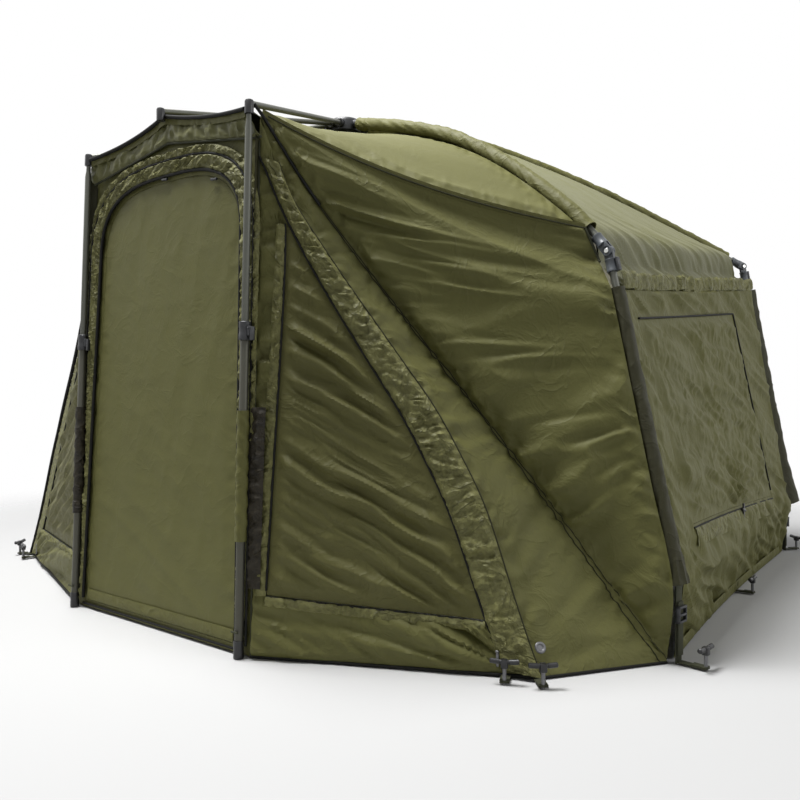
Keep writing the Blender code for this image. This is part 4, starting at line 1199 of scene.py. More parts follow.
def sew(name, grid, side, look, plain, rests_on, slot="cloth", node=None, body="root", **form):
    """A cloth on one hand from its raised right-hand grid, and dressed; the size worked out from its plain grid is
    kept nowhere.
    """
    made = cloth_object(name, on_side(grid, side), LOOKS[look], **form)
    declare(plain, rests_on)
    return dress(made, slot, node, body)


def trim(name, line, radius, look="piping", sides=8):
    """A sewn cord along one line."""
    return dress(cord_along(name, [line], radius, look, sides), "dark_cloth")


def fold_towards_leg(obj, side, corner):
    """Works out the normal of the plane through elbow, peak corner and wing corner, and gives the cloth a mesh of its
    own; nothing draws the cloth to that plane.
    """
    normal = (Vector(corner) - FRONT.pivot).cross(WING_CORNERS[side] - FRONT.pivot)
    hand_point(normal, side)
    hand_point(FRONT.pivot, side)
    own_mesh(obj)


def bend_at_elbow(obj, rib, side):
    """Bakes the transform of a small cloth beside the elbow into its mesh; it does not turn with the leg."""
    end = rib.on_leg(BEND_REACH)
    hand_point(rib.pivot, side)
    hand_point(end, side)
    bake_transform(obj)


def gather_to_leg(obj, rib, side, hem_middle):
    """Gives the cloth a mesh of its own; it does not gather to the line from the elbow to the middle of the hem as the
    leg folds in.
    """
    way = hand_point(leg_way(rib, hem_middle), side)
    hand_point(rib.pivot, side)
    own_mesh(obj)


def leg_way(rib, hem_middle):
    """The way down from the line between elbow and hem middle, square to it."""
    line = (hem_middle - rib.pivot).normalized()
    reach = rib.foot - rib.pivot
    return (reach - line * reach.dot(line)).normalized()


def cut_in_two(obj, spot, normal):
    """Cuts a closed cloth with a plane into the part behind it and the part before it, each closed."""
    made = []
    for behind in (True, False):
        body = bmesh.new()
        body.from_mesh(obj.data)
        whole = list(body.verts) + list(body.edges) + list(body.faces)
        cut = bmesh.ops.bisect_plane(
            body, geom=whole, plane_co=spot, plane_no=normal.normalized(), clear_outer=behind, clear_inner=not behind
        )
        edges = [e for e in cut["geom_cut"] if isinstance(e, bmesh.types.BMEdge) and e.is_boundary]
        bmesh.ops.holes_fill(body, edges=edges, sides=0)
        mesh = mesh_of(body, "part")
        mesh.materials.append(obj.data.materials[0])
        made.append(placed("part", mesh))
    bpy.data.objects.remove(obj)
    return made


def hang_from_line(obj, name, rib, side, hem_middle, node):
    """Cuts a half wall at the line from its elbow to the hem's middle into two pieces, and dresses both."""
    way = hand_point(leg_way(rib, hem_middle), side)
    for piece, label in zip(cut_in_two(obj, hand_point(rib.pivot, side), way), ("", "_low")):
        piece.name = f"{name}{label}_{side}"
        spots = np.array([vertex.co for vertex in piece.data.vertices])
        reach = spots.max(axis=0) - spots.min(axis=0)
        width, area = round(float(max(reach[0], reach[1])), 3), sum(face.area for face in piece.data.polygons) / 2
        length = round(min(float(reach[2]) * 1.02, area / (0.32 * width)), 3)
        area = round(min(area, width * length * 0.99), 4)
        dress(piece, "cloth", node)
        if label:
            gather_to_leg(piece, rib, side, hem_middle)


def ring_hold(ring, inner, outer):
    """0 at both edges of a ring of cloth and 1 between them."""
    run = run_of(ring, 0)
    return smooth(0, inner, run) * smooth(0, outer, run[-1:] - run)


def under_hub(grid):
    """The roof's cloth hangs a little lower round the hub than the ribs do."""
    away = np.hypot(grid[..., 0] - HUB.x, grid[..., 1] - HUB.y)
    dipped = grid.copy()
    dipped[..., 2] -= HUB_DIP * np.exp(-((away / HUB_DIP_REACH) ** 2))
    return dipped


def build_front_roof(side, rows, seed):
    """The taut roof between the peak rib and the front rib."""
    grid = refine(rows, even_counts(rows, step()))
    down, out = run_of(grid, 0), run_of(grid, 1)
    waves = folds(grid[..., 1] * 0.4 + grid[..., 2], out, 0.085, 0.5, seed) * 0.0040
    from_seam, near_rib = down[-1:] - down, out[:, -1:] - out
    puckers = folds(out, from_seam, 0.030, 0.10, seed + 1) * 0.0040 * smooth(0.14, 0.0, from_seam)
    puckers += folds(down, near_rib, 0.028, 0.10, seed + 2) * 0.0045 * smooth(0.12, 0.0, near_rib)
    amount = waves * edge_hold(grid, 0.05) + puckers * edge_hold(grid, SEAM_HOLD)
    top = raised(grid, amount * wrinkle_share())
    top[..., 2] -= SLEEVE_STAND * smooth(0.09, 0.0, near_rib)
    sleeve, node = f"rib_sleeve_front_{side}_cloth", f"front_quarter_{side}"
    sew(f"roof_front_{side}", under_hub(top), side, "taut", grid, [sleeve], node=node)


def flank_grid(rows, seed):
    """The flank with its long folds from the gore's seam and its puckers along seam and leg."""
    grid = refine(rows, even_counts(rows, step()), (0, 1, 2))
    down, out = run_of(grid, 0), run_of(grid, 1)
    from_seam, near_leg = down[-1:] - down, out[:, -1:] - out
    slope = np.interp(grid[..., 2], [0.2, 0.55, 0.75, 1.1, 1.3], [-0.36, -0.22, 0.0, 0.22, 0.30])
    level = grid[..., 2] + slope * from_seam
    reach = 0.30 + 0.25 * noise(level / 0.12, from_seam * 0, seed + 30)
    fade = smooth(1.0, 0.05, from_seam / np.maximum(reach * 2, 0.1))
    long_folds = folds(level, from_seam, 0.050, 0.55, seed + 3) * fade
    soft = folds(level * 0.8 + 3.1, from_seam, 0.120, 0.9, seed + 4)
    puckers = folds(out, from_seam, 0.026, 0.07, seed + 5) * smooth(0.10, 0.0, from_seam)
    leg_puckers = folds(down, near_leg, 0.035, 0.12, seed + 6) * smooth(0.13, 0.0, near_leg)
    amount = (long_folds * 0.0190 + soft * 0.0090) * edge_hold(grid, 0.05)
    amount = amount + (puckers * 0.0110 + leg_puckers * 0.0090) * edge_hold(grid, SEAM_HOLD)
    return raised(grid, amount * wrinkle_share()), grid


def gore_grid_of(rows, seed):
    """The gore below the flank, puckered along both of its seams."""
    grid = refine(rows, even_counts(rows, step()))
    down, out = run_of(grid, 0), run_of(grid, 1)
    far = down[-1:] - down
    body = folds(grid[..., 2] * 0.9 + down * 0.25, down, 0.060, 0.3, seed + 7)
    puckers = folds(out, down, 0.026, 0.08, seed + 5) * smooth(0.10, 0.0, down)
    puckers += folds(out, far, 0.028, 0.08, seed + 8) * smooth(0.08, 0.0, far)
    amount = body * 0.0070 * edge_hold(grid, 0.04) + puckers * 0.0085 * edge_hold(grid, SEAM_HOLD)
    return raised(grid, amount * wrinkle_share()), grid


def build_front_quarter(side):
    """Roof, flank and gore between the peak corner, the front rib, its leg and the wing's corner."""
    seed = 20 if side == "right" else 60
    coarse, roof = front_rays(side, cells(1.45))
    foot = len(coarse) - 1 - HEM_STEPS
    corner = np.array(peak_corner())
    build_front_roof(side, coarse[: roof + 1], seed)

    grid, plain = flank_grid(coarse[roof : foot + 1], seed)
    flank = sew(f"flank_{side}", grid, side, "cloth", plain, [f"leg_sleeve_front_{side}_cloth"])
    gore_grid, plain = gore_grid_of(coarse[foot:], seed)
    gore = sew(f"gore_{side}", gore_grid, side, "cloth", plain, [f"flank_{side}"])

    row, column = int(len(gore_grid) * 0.905), int(gore_grid.shape[1] * 0.957)
    outward = on_side(normals_of(gore_grid)[row, column], side)
    place = Matrix.Translation(Vector(on_side(gore_grid[row, column], side))) @ turned_to(Vector(outward))
    eye = Form().turn(EYELET, place, 32).turn(EYELET_FLOOR, place, 24)
    eye.piece(f"gore_eyelet_{side}", "steel_dark", "peg")

    seam = raised(grid[-3:], np.full((3, grid.shape[1]), 0.0012))
    lines = [line_on(on_side(seam[1], side), 0.0016), line_on(on_side(gore_grid[2], side), 0.0020)]
    # The dark cord under the stitches is partly the dark thread and partly painted shade of the seam's groove.
    thread = [stitches("gore_thread", lines), cord_along("gore_crease", lines, 0.0015, "seam", 6)]
    thread = dress(joined(f"gore_stitches_{side}", thread), "dark_cloth")
    cover = np.concatenate([grid[-3:-1], gore_grid[:3]])
    ridge = raised(cover, np.array([0.0003, 0.0026, 0.0032, 0.0026, 0.0003])[:, None] * np.ones(cover.shape[:2]))
    felled = sew(f"gore_seam_{side}", ridge, side, "cloth", cover, [f"flank_{side}"], thickness=STRIP_THICKNESS)
    hem = trim(f"gore_hem_piping_{side}", line_on(on_side(gore_grid[:, -1], side), 0.001), 0.0034)
    for piece in (flank, gore, felled, thread, hem):
        fold_towards_leg(piece, side, corner)
    edge = line_on(on_side(grid[: max(3, grid.shape[0] // 10), -1], side), 0.001)
    binding = cord_along(f"chord_binding_{side}", [edge], 0.0035, "webbing")
    bend_at_elbow(dress(binding, "dark_cloth", body=None), FRONT, side)

    seam = line_on(on_side(coarse[roof], side), 0.0028)
    seam = seam[int(len(seam) * 0.02) :]
    dress(stitches(f"roof_stitches_{side}", [seam + lifted(0.0012), seam - lifted(0.006)]), "dark_cloth")
    raised_seam = coarse[roof] + unit(coarse[roof] - np.array(INSIDE)) * 0.002
    ridge = np.stack([raised_seam + lifted(s) for s in (0.009, 0.003, -0.003, -0.009)])
    sew(f"roof_seam_{side}", ridge, side, "cloth", ridge, [f"roof_front_{side}"], thickness=STRIP_THICKNESS)
    head = line_on(on_side(coarse[foot][: max(3, int(len(coarse[foot]) * 0.17))], side), 0.004)
    tip = tuple(hand_point(PEAK + Vector((0.004, 0.012, 0.002)), side))
    trim(f"gore_head_piping_{side}", np.concatenate([[tip], head]), 0.0042)
    # A dark cord below the roof seam: partly dark thread, partly painted shade of its groove.
    trim(f"roof_crease_{side}", seam - lifted(0.0025), 0.0016, "seam", 6)


def build_wing_cloth(side, place, corners, seed):
    """The wing's cloth round its window, with the skirt's folds drawn in towards the pegged corner."""
    outer = ((0.0, 0.008), (0.008, 0.008), (1.0, 1.0), (0.0, 1.0))
    ring = ring_grid(corners, outer, place, cells(0.16), cells(1.0))
    h, drop = ring[..., 0] - WALL_HALF_WIDTH, ring[..., 2]
    skirt = smooth(0.20, 0.10, drop)
    corner = WING_CORNERS[side]
    away = np.hypot(ring[..., 0] - corner.x, ring[..., 1] - corner.y)
    angle, reach = np.arctan2(drop + 0.01, away), np.hypot(away, drop)
    fold = folds(angle * 0.62, reach * 0.5, 0.052, 0.30, seed) * 0.0210 * skirt * smooth(0.02, 0.22, reach)
    fold += folds(h * 0.8 + drop * 1.3, drop - h * 0.6, 0.030, 0.2, seed + 8) * 0.0060 * skirt
    strips = folds(drop, h, 0.032, 0.12, seed + 1) * 0.0120 * (1 - skirt)
    grid = raised(ring, (fold + strips) * ring_hold(ring, 0.03, 0.02) * wrinkle_share())
    grid[:, -1] = grid[:, 0]
    sew(f"wing_{side}_cloth", grid, side, "cloth", ring, [f"flank_{side}"], node=f"wing_{side}", ring=True)


def build_wing_zip(side, place, corners, seed, cloth):
    """The crinkled band over the slanting zip, with the zip, its puller, stitches and outer piping."""
    right = side == "right"
    top, low = Vector(corners[1]), Vector(corners[2])
    shares = [top.lerp(low, i / 80) for i in range(-14, 89)]
    inner = on_side(np.array([tuple(place(*s)) for s in shares if s.y < 0.998]), side)
    far = on_side(np.array([tuple(place(s, s)) for s in np.linspace(0.085, 0.998, 100)]), side)
    far = far + unit(far[-1] - inner[-1]) * 0.014
    depth, bulge = (0.0075, 0.006) if right else (0.0028, 0.001)
    band(f"wing_zip_band_{side}", inner, far, "crinkled", 0.0035, depth, 0.019, seed + 3, 16, 0.005, cloth, bulge)
    zip_line = line_on(even_line(inner, 0.01), 0.0062)
    trim(f"wing_zip_{side}", zip_line, 0.0030)
    shares = np.linspace(0, 1, len(inner)), np.linspace(0, 1, len(far))
    beside = np.array([np.interp(*shares, far[:, k]) for k in range(3)]).T
    first = line_on(inner * 0.80 + beside * 0.20, 0.0078)
    second = line_on(even_line(far, 0.01), 0.0062) - unit(far[-1] - inner[-1]) * 0.010
    dress(stitches(f"wing_band_stitches_{side}", [first, second]), "dark_cloth")
    # On the right the band's outer line is a thin dark seam cord: partly thread, partly painted groove shade.
    outer_cord = line_on(even_line(far, 0.01), 0.0050 if right else 0.0120)
    trim(f"wing_band_piping_{side}", outer_cord, *((0.0018, "seam") if right else (0.0062, "piping")))
    end = Vector(zip_line[-4])
    spot = Matrix.Translation(end + Vector((0.0, -0.006, 0.012)))
    puller = Form().block((-0.0035, -0.0016, -0.030), (0.0035, 0.0016, 0.002), spot, 0.0010)
    puller.rod(end + Vector((-0.004, -0.007, 0.016)), end + Vector((0.004, -0.007, 0.016)), 0.0030, 16)
    puller.piece(f"wing_zip_puller_{side}", "steel_dark", "dark_cloth")


def build_wing(side):
    """The triangular cloth beside the door: strips round its window, the zip band and the skirt."""
    seed = 110 if side == "right" else 150
    place, cloth = wing_place(side), [f"wing_{side}_cloth"]
    corners = grown(WING_COVER_SHARES, place, 0.0014)
    build_wing_cloth(side, place, corners, seed)
    build_wing_zip(side, place, corners, seed, cloth)

    shares = [corners[0].lerp(corners[3], i / 60) for i in range(61)]
    near = on_side(place_line(place, corners[0], corners[3]), side)
    aside = on_side(np.array([tuple(place(max(s.x - 0.040, 0.002), s.y)) for s in shares]), side)
    band(f"wing_edge_band_{side}", near, aside, "crinkled", 0.0025, 0.0055, 0.018, seed + 4, 8, 0.005, cloth, 0.002)
    trim(f"wing_edge_piping_{side}", line_on(near[:-1], 0.0040), 0.0032)
    foot = place_line(place, corners[3], corners[2])
    foot, below = on_side(foot, side), on_side(foot - lifted(0.026), side)
    band(f"wing_sill_band_{side}", foot, below, "crinkled", 0.0030, 0.0055, 0.016, seed + 5, 8, 0.005, cloth, 0.002)
    trim(f"wing_sill_piping_{side}", line_on(foot, 0.0040), 0.0028)
    hem = on_side(np.array([tuple(place(s, 1.0)) for s in np.linspace(0.0, 1.0, 60)]), side)
    trim(f"wing_hem_piping_{side}", line_on(hem, 0.0010) + lifted(0.002), 0.0038)
    spine = on_side(np.array([tuple(place(0.0, s)) for s in np.linspace(0.05, 1.0, 60)]), side)
    trim(f"wing_front_piping_{side}", line_on(spine, 0.0015), 0.0030, "webbing" if side == "right" else "piping")

    seed, size = seed + 20, cells(0.75)
    grid = quad_grid(WING_COVER_SHARES, place, int(size * 2.1), int(size * 1.6))
    h = np.hypot(grid[..., 0] - WALL_HALF_WIDTH, grid[..., 1] - FRONT_LINE)
    line = grid[..., 2] + np.interp(grid[..., 2], [0.15, 0.95], [0.50, 0.68]) * h
    warp = noise(line / 0.24, h / 0.20, seed) * 0.42 + noise(line / 0.07, h / 0.10, seed + 1) * 0.22
    crest = 1.0 - np.sqrt(np.sin(math.pi * (line / 0.058) + warp * 3.2) ** 2 + 0.05) * 1.25
    strength = 0.55 + 0.65 * noise(line / 0.11, h / 0.24, seed + 2)
    small = folds(line, h, 0.022, 0.14, seed + 3)
    amount = (crest * strength * 0.0165 + small * 0.0070 + 0.008) * edge_hold(grid, 0.045) * wrinkle_share()
    name, node, body = f"wing_cover_{side}_cloth", f"wing_cover_{side}", f"wing_window_{side}"
    sew(name, raised(grid, amount), side, "cover", grid, cloth, "dark_cloth", node, body)


def build_side_roof(side, seed):
    """The roof between the front rib and the rear rib, with slanting folds above its eave."""
    front, rear = FRONT.cloth_edge(1.0), REAR.cloth_edge(-1.0)
    roof = len(front) - HEM_STEPS - 2
    rows = []
    for first, second, sag in zip(front, rear, ramp(0.0, ROOF_SAG, roof) + [WALL_SAG]):
        rows.append([tuple(between(first, second, i / 24, sag)) for i in range(25)])
    plain = fine_both_ways(np.array(rows), step() * 1.25, (roof - 1,))
    out, low = run_of(plain, 1), run_of(plain, 0)
    eave, near_rib = low[-1:] - low, np.minimum(out, out[:, -1:] - out)
    amount = folds(out, low, 0.20, 0.9, seed) * 0.0030 * edge_hold(plain, 0.08)
    amount += folds(low, near_rib, 0.045, 0.14, seed + 1) * 0.0028 * smooth(0.11, 0.0, near_rib)
    amount += folds(out + 1.1 * eave, eave, 0.042, 0.25, seed + 2) * 0.0075 * smooth(0.24, 0.03, eave)
    amount += folds(out + 1.3 * eave, eave, 0.070, 0.5, seed + 3) * 0.0070 * smooth(0.45, 0.10, eave)
    grid = raised(plain, amount * edge_hold(plain, SEAM_HOLD, "lrt") * wrinkle_share())
    grid[..., 2] -= ROOF_STAND * smooth(0.12, 0.0, near_rib) * smooth(0.0, 0.12, eave)
    sleeves = [f"rib_sleeve_{name}_{side}_cloth" for name in RIBS]
    sew(f"roof_side_{side}", under_hub(grid), side, "lining", plain, sleeves, node=f"side_quarter_{side}")
    return grid[-1]


def build_side_wall(side, corners, seed):
    """The side wall round its window, as four pieces."""
    outer = ((0.0, 0.0), (1.0, 0.0), (1.0, 1.0), (0.0, 1.0))
    ring = ring_grid(corners, outer, wall_place, cells(0.30), cells(1.35))
    along, drop = ring[..., 1], ring[..., 2]
    amount = folds(drop + 0.35 * along, along, 0.050, 0.3, seed + 4) * 0.0130
    amount += folds(along * 0.9 + drop * 0.5, drop, 0.075, 0.35, seed + 5) * 0.0130 * smooth(0.45, 0.25, drop)
    amount += crinkles(along, drop, 0.022, seed + 6) * 0.0015
    ring = raised(ring, amount * ring_hold(ring, 0.03, 0.02) * wrinkle_share())
    ring[:, -1] = ring[:, 0]
    whole = cloth_object(f"side_wall_{side}", on_side(ring, side), LOOKS["cloth"], ring=True)
    top_middle, hem_middle = hand_point(wall_place(0.5, 0.0), side), hand_point(HEM_MIDDLE, side)
    lean = (hem_middle - top_middle).normalized()
    for piece, rib in zip(cut_in_two(whole, top_middle, Vector((0.0, 1.0, 0.0)) - lean * lean.y), (FRONT, REAR)):
        hang_from_line(piece, f"side_wall_{rib.name}", rib, side, HEM_MIDDLE, f"side_quarter_{side}")


def build_side_cover(side, corners, seed):
    """The window's cover, with soft slanting folds and puckers that run to the toggle at its sill."""
    grid = quad_grid(SIDE_COVER_SHARES, wall_place, cells(1.0), cells(1.5))
    along, drop = grid[..., 1], grid[..., 2]
    warp = noise(drop / 0.2, along / 0.3, seed + 8) * 0.5
    crest = 1.0 - np.sqrt(np.sin(math.pi * ((drop + 0.30 * along) / 0.150) + warp * 4.0) ** 2 + 0.03) * 1.2
    soft = folds(drop + 0.30 * along, along, 0.045, 0.25, seed + 9)
    amount = crest * 0.0070 + soft * 0.0095 + crinkles(along, drop, 0.03, seed + 10) * 0.0035 + 0.005
    knot = np.array(wall_place(*corners[3].lerp(corners[2], 0.55)))
    ray, near = np.arctan2(drop - knot[2], along - knot[1]), np.linalg.norm(grid - knot, axis=-1)
    puckers = np.sin(ray * 17.0) * 0.0075 * smooth(0.02, 0.06, near) * smooth(0.24, 0.07, near)
    amount = amount * edge_hold(grid, 0.05) + puckers * edge_hold(grid, SEAM_HOLD)
    name, node, body = f"side_cover_{side}_cloth", f"side_cover_{side}", f"side_window_{side}"
    grid, plain = raised(grid, amount * wrinkle_share()), grid
    sew(name, grid, side, "cloth", plain, [f"side_wall_front_{side}"], "dark_cloth", node, body)


def build_side_quarter(side):
    """Roof and side wall between the front rib and the rear rib, with the window and its trims."""
    seed = 210 if side == "right" else 250
    wall = [f"side_wall_front_{side}"]
    eave_line = build_side_roof(side, seed)
    corners = grown(SIDE_COVER_SHARES, wall_place, 0.001)
    build_side_wall(side, corners, seed)
    build_side_cover(side, corners, seed)

    a, b = corners[3] + SILL_LOWERING, corners[2] + SILL_LOWERING
    ends = {"top": corners[:2], "rear": (corners[1], corners[1].lerp(corners[2], 0.965)), "sill": (a, b)}
    for name, (first, second) in ends.items():
        line = on_side(place_line(wall_place, first, second), side)
        trim(f"side_window_{name}_piping_{side}", line_on(line, 0.003), 0.0030)
    line = place_line(wall_place, a, b)
    low = np.array([tuple(wall_place(*(a.lerp(b, i / 60) + Vector((0.0, 0.050))))) for i in range(61)])
    sill, low = on_side(line, side), on_side(low, side)
    band(f"side_sill_band_{side}", sill, low, "crinkled", 0.003, 0.004, 0.018, seed + 11, 8, 0.007, wall)
    spot = hand_point(Vector(line[33]) + Vector((0.012, 0.0, -0.004)), side)
    toggle = Form().rod(spot + Vector((0.0, -0.016, 0.004)), spot + Vector((0.0, 0.016, -0.004)), 0.0050, 20, 0.002)
    toggle.block((-0.003, -0.004, -0.026), (0.003, 0.004, 0.022), Matrix.Translation(spot), 0.001)
    toggle.piece(f"side_window_toggle_{side}", "cap", "black_plastic")
    level = on_side(eave_line, side)
    upper = on_side(line_above(eave_line), side)
    roof = [f"roof_side_{side}"]
    band(f"eave_gather_{side}", level, upper, "crinkled", 0.0040, 0.0050, 0.022, seed + 12, 10, 0.006, roof)
    build_hem_flap(side, seed + 14)


def line_above(line):
    """A line 45 mm above an eave, leaning back towards the roof."""
    level = line - np.array(INSIDE)
    level[:, 2] = 0.0
    return line - unit(level) * 0.006 + lifted(0.045)


def build_hem_flap(side, seed):
    """The lighter strip of cloth that is turned out along the foot of the side wall."""
    for rib, first, last in ((FRONT, 0.02, 0.5), (REAR, 0.5, 0.98)):
        shares = np.linspace(first, last, 60)
        top = on_side(np.array([tuple(wall_place(s, 0.952)) for s in shares]), side)
        low = on_side(np.array([tuple(wall_place(s, 1.0)) for s in shares]) + lifted(0.001), side)
        name, wall = f"side_hem_{rib.name}_{side}", [f"side_wall_{rib.name}_{side}"]
        strip = band(name, top, low, "cloth", 0.004, 0.0025, 0.03, seed, 8, 0.008, wall)
        gather_to_leg(strip, rib, side, HEM_MIDDLE)


def build_rear_quarter():
    """Roof and back wall between the two rear ribs, as a roof and two half walls."""
    much, cell = wrinkle_share(), step() * 1.4
    edge = REAR.cloth_edge(1.0)
    roof = len(edge) - HEM_STEPS - 2
    sags = ramp(0.0, ROOF_SAG, roof) + [WALL_SAG] * (HEM_STEPS + 2)
    rows = np.array([[tuple(between(p, flipped(p), i / 30, s)) for i in range(31)] for p, s in zip(edge, sags)])
    plain = fine_both_ways(rows[: roof + 1], cell, (roof - 1,))
    out, low = run_of(plain, 1), run_of(plain, 0)
    near = np.minimum(out, out[:, -1:] - out)
    amount = folds(out, low, 0.22, 0.9, 310) * 0.0022 * edge_hold(plain, 0.08)
    amount += folds(low, near, 0.032, 0.10, 311) * 0.0024 * smooth(0.11, 0.0, near)
    top = raised(plain, amount * edge_hold(plain, SEAM_HOLD) * much)
    top[..., 2] -= ROOF_STAND * smooth(0.12, 0.0, near)
    sleeves = ["rib_sleeve_rear_right_cloth", "rib_sleeve_rear_left_cloth"]
    sew("roof_rear", under_hub(top), "right", "lining", plain, sleeves, node="rear_quarter")

    wall = fine_both_ways(rows[roof:], cell, ())
    out, low = run_of(wall, 1), run_of(wall, 0)
    near = np.minimum(out, out[:, -1:] - out)
    amount = folds(low + 0.2 * out, out, 0.070, 0.5, 320) * 0.0040 + folds(out, low, 0.12, 0.7, 321) * 0.0030
    amount += folds(out, low, 0.030, 0.12, 322) * 0.0040 * smooth(0.12, 0.02, low)
    amount += folds(low, near, 0.035, 0.12, 323) * 0.0030 * smooth(0.12, 0.0, near)
    wall = raised(wall, amount * edge_hold(wall, 0.02) * much)
    half = wall.shape[1] // 2
    for side, part in (("right", wall[:, : half + 1]), ("left", wall[:, half:])):
        piece = cloth_object("rear_wall_half", part, LOOKS["cloth"])
        hang_from_line(piece, "rear_wall", REAR, side, Vector((0.0, REAR.hem.y, HEM_LIFT)), "rear_quarter")


def build_canopy():
    """The porch roof with its lip, the black piping along its edge and the gathered valance below."""
    drop = Vector((0.0, 0.0, PEAK_DROP))
    way = peak_direction(PEAK)
    aside = Vector((-way.y, way.x, 0.0)).normalized() * SEAM_GAP
    corner = Vector((PEAK_SPREAD - TIP_RADIUS - SEAM_GAP, PEAK_Y, PEAK_HEIGHT)) - drop
    near = hub_face(way, PANEL_START) - drop - aside
    middle = Vector((0.0, PEAK_Y + TIP_RADIUS + SEAM_GAP, PEAK_CENTRE_HEIGHT)) - drop
    near_middle = hub_face(peak_direction(PEAK_CENTRE), PANEL_START) - drop
    count, half = cells(0.8), cells(0.42)
    grid = []
    for i in range(count + 1):
        along = i / count
        side, centre = near.lerp(corner, along), near_middle.lerp(middle, along)
        side.z -= HUB_DROP * float(smooth(0.0, 0.30, 1.0 - along))
        right = [tuple(between(centre, side, k / half, 0.012 * along)) for k in range(half + 1)]
        grid.append([(-x, y, z) for x, y, z in reversed(right[1:])] + right)
    lip = [np.array(grid[-1]) - lifted(0.022 * k / 3) for k in (1, 2, 3)]
    plain = np.concatenate([np.array(grid), np.array(lip)])
    out, low = run_of(plain, 1), run_of(plain, 0)
    front = low[-1:] - low
    amount = folds(out, low, 0.06, 0.3, 401) * 0.003 * edge_hold(plain, 0.05)
    amount += folds(out, front, 0.03, 0.10, 402) * 0.003 * smooth(0.15, 0.03, front) * edge_hold(plain, 0.02, "lr")
    grid = under_hub(raised(plain, amount * wrinkle_share(), (0.0, HUB.y, 0.5)))
    sew("porch_roof", grid, "right", "taut", plain, ["peak_rib_right", "peak_rib_left"], node="peak_canopy")
    trim("porch_piping", plain[-4] + np.array([0.0, -0.004, -0.002]), 0.0055)

    top = plain[-1] * np.array([0.366 / 0.3535, 1.0, 1.0]) + np.array([0.0, 0.012, 0.012])
    x = np.interp(np.linspace(-1, 1, len(top)), [-1, 1], [-0.388, 0.388])
    height = np.interp(np.abs(x), [0.0, PEAK_SPREAD], [WALL_CENTRE_HEIGHT - 0.02, WALL_HEIGHT - 0.015])
    low = np.stack([x, [wall_y(h) - 0.004 for h in height], height], axis=1)
    valance = ("porch_valance", top, low, "lining", 0.002, 0.0100, 0.030, 405, 12, 0.006, ["porch_roof"])
    band(*valance, slot="dark_cloth")
    trim("wall_top_piping", low + FORWARD * 0.006, 0.0032, "webbing")


def arch(half_width, foot_half_width, spring, top, low):
    """Points over the door from the low right end round the arch to the low left end, on the front wall."""
    widening, rise = half_width - foot_half_width, spring - low
    side = [(foot_half_width + widening * i / 16, low + rise * i / 16) for i in range(16)]
    for i in range(15):
        angle = math.pi / 2 * i / 14
        x = half_width * max(math.cos(angle), 0.0) ** DOOR_ARCH_POWER
        side.append((x, spring + (top - spring) * math.sin(angle) ** DOOR_ARCH_POWER))
    line = side + [(-x, z) for x, z in reversed(side[:-1])]
    return np.array([(x, wall_y(z), z) for x, z in line])


def door_outline(grow, count=24):
    """The right half of the door's outline, grown by a length, from its foot to near its crown."""
    sill, foot = DOOR_SILL - grow, DOOR_FOOT_HALF_WIDTH + grow
    width, rise = DOOR_HALF_WIDTH + grow, DOOR_TOP + grow - DOOR_SPRING_HEIGHT
    side = []
    for i in range(3 * count):
        share = i / (3 * count)
        side.append((foot + (width - foot) * share, sill + (DOOR_SPRING_HEIGHT - sill) * share))
    for i in range(count + 1):
        angle = DOOR_ARCH_END * i / count
        z = DOOR_SPRING_HEIGHT + rise * math.sin(angle) ** DOOR_ARCH_POWER
        side.append((width * math.cos(angle) ** DOOR_ARCH_POWER, z))
    return side


def wall_outline(inner):
    """Points on the front wall's outer edge, one beside each point of the door's outline on the right."""
    cut = next(i for i, (x, z) in enumerate(inner) if z > 1.19)
    reach = inner[-1][0]
    crown = WALL_CENTRE_HEIGHT + (WALL_HEIGHT - WALL_CENTRE_HEIGHT) * reach / PEAK_SPREAD
    made = []
    for i in range(cut):
        x = WALL_HALF_WIDTH + (PEAK_SPREAD - WALL_HALF_WIDTH) * (i / cut)
        made.append((x, HEM_LIFT + (WALL_HEIGHT - HEM_LIFT) * (i / cut)))
    over = len(inner) - 1 - cut
    for i in range(over + 1):
        x = PEAK_SPREAD + (reach - PEAK_SPREAD) * (i / over)
        made.append((x, WALL_HEIGHT + (crown - WALL_HEIGHT) * (i / over)))
    return made


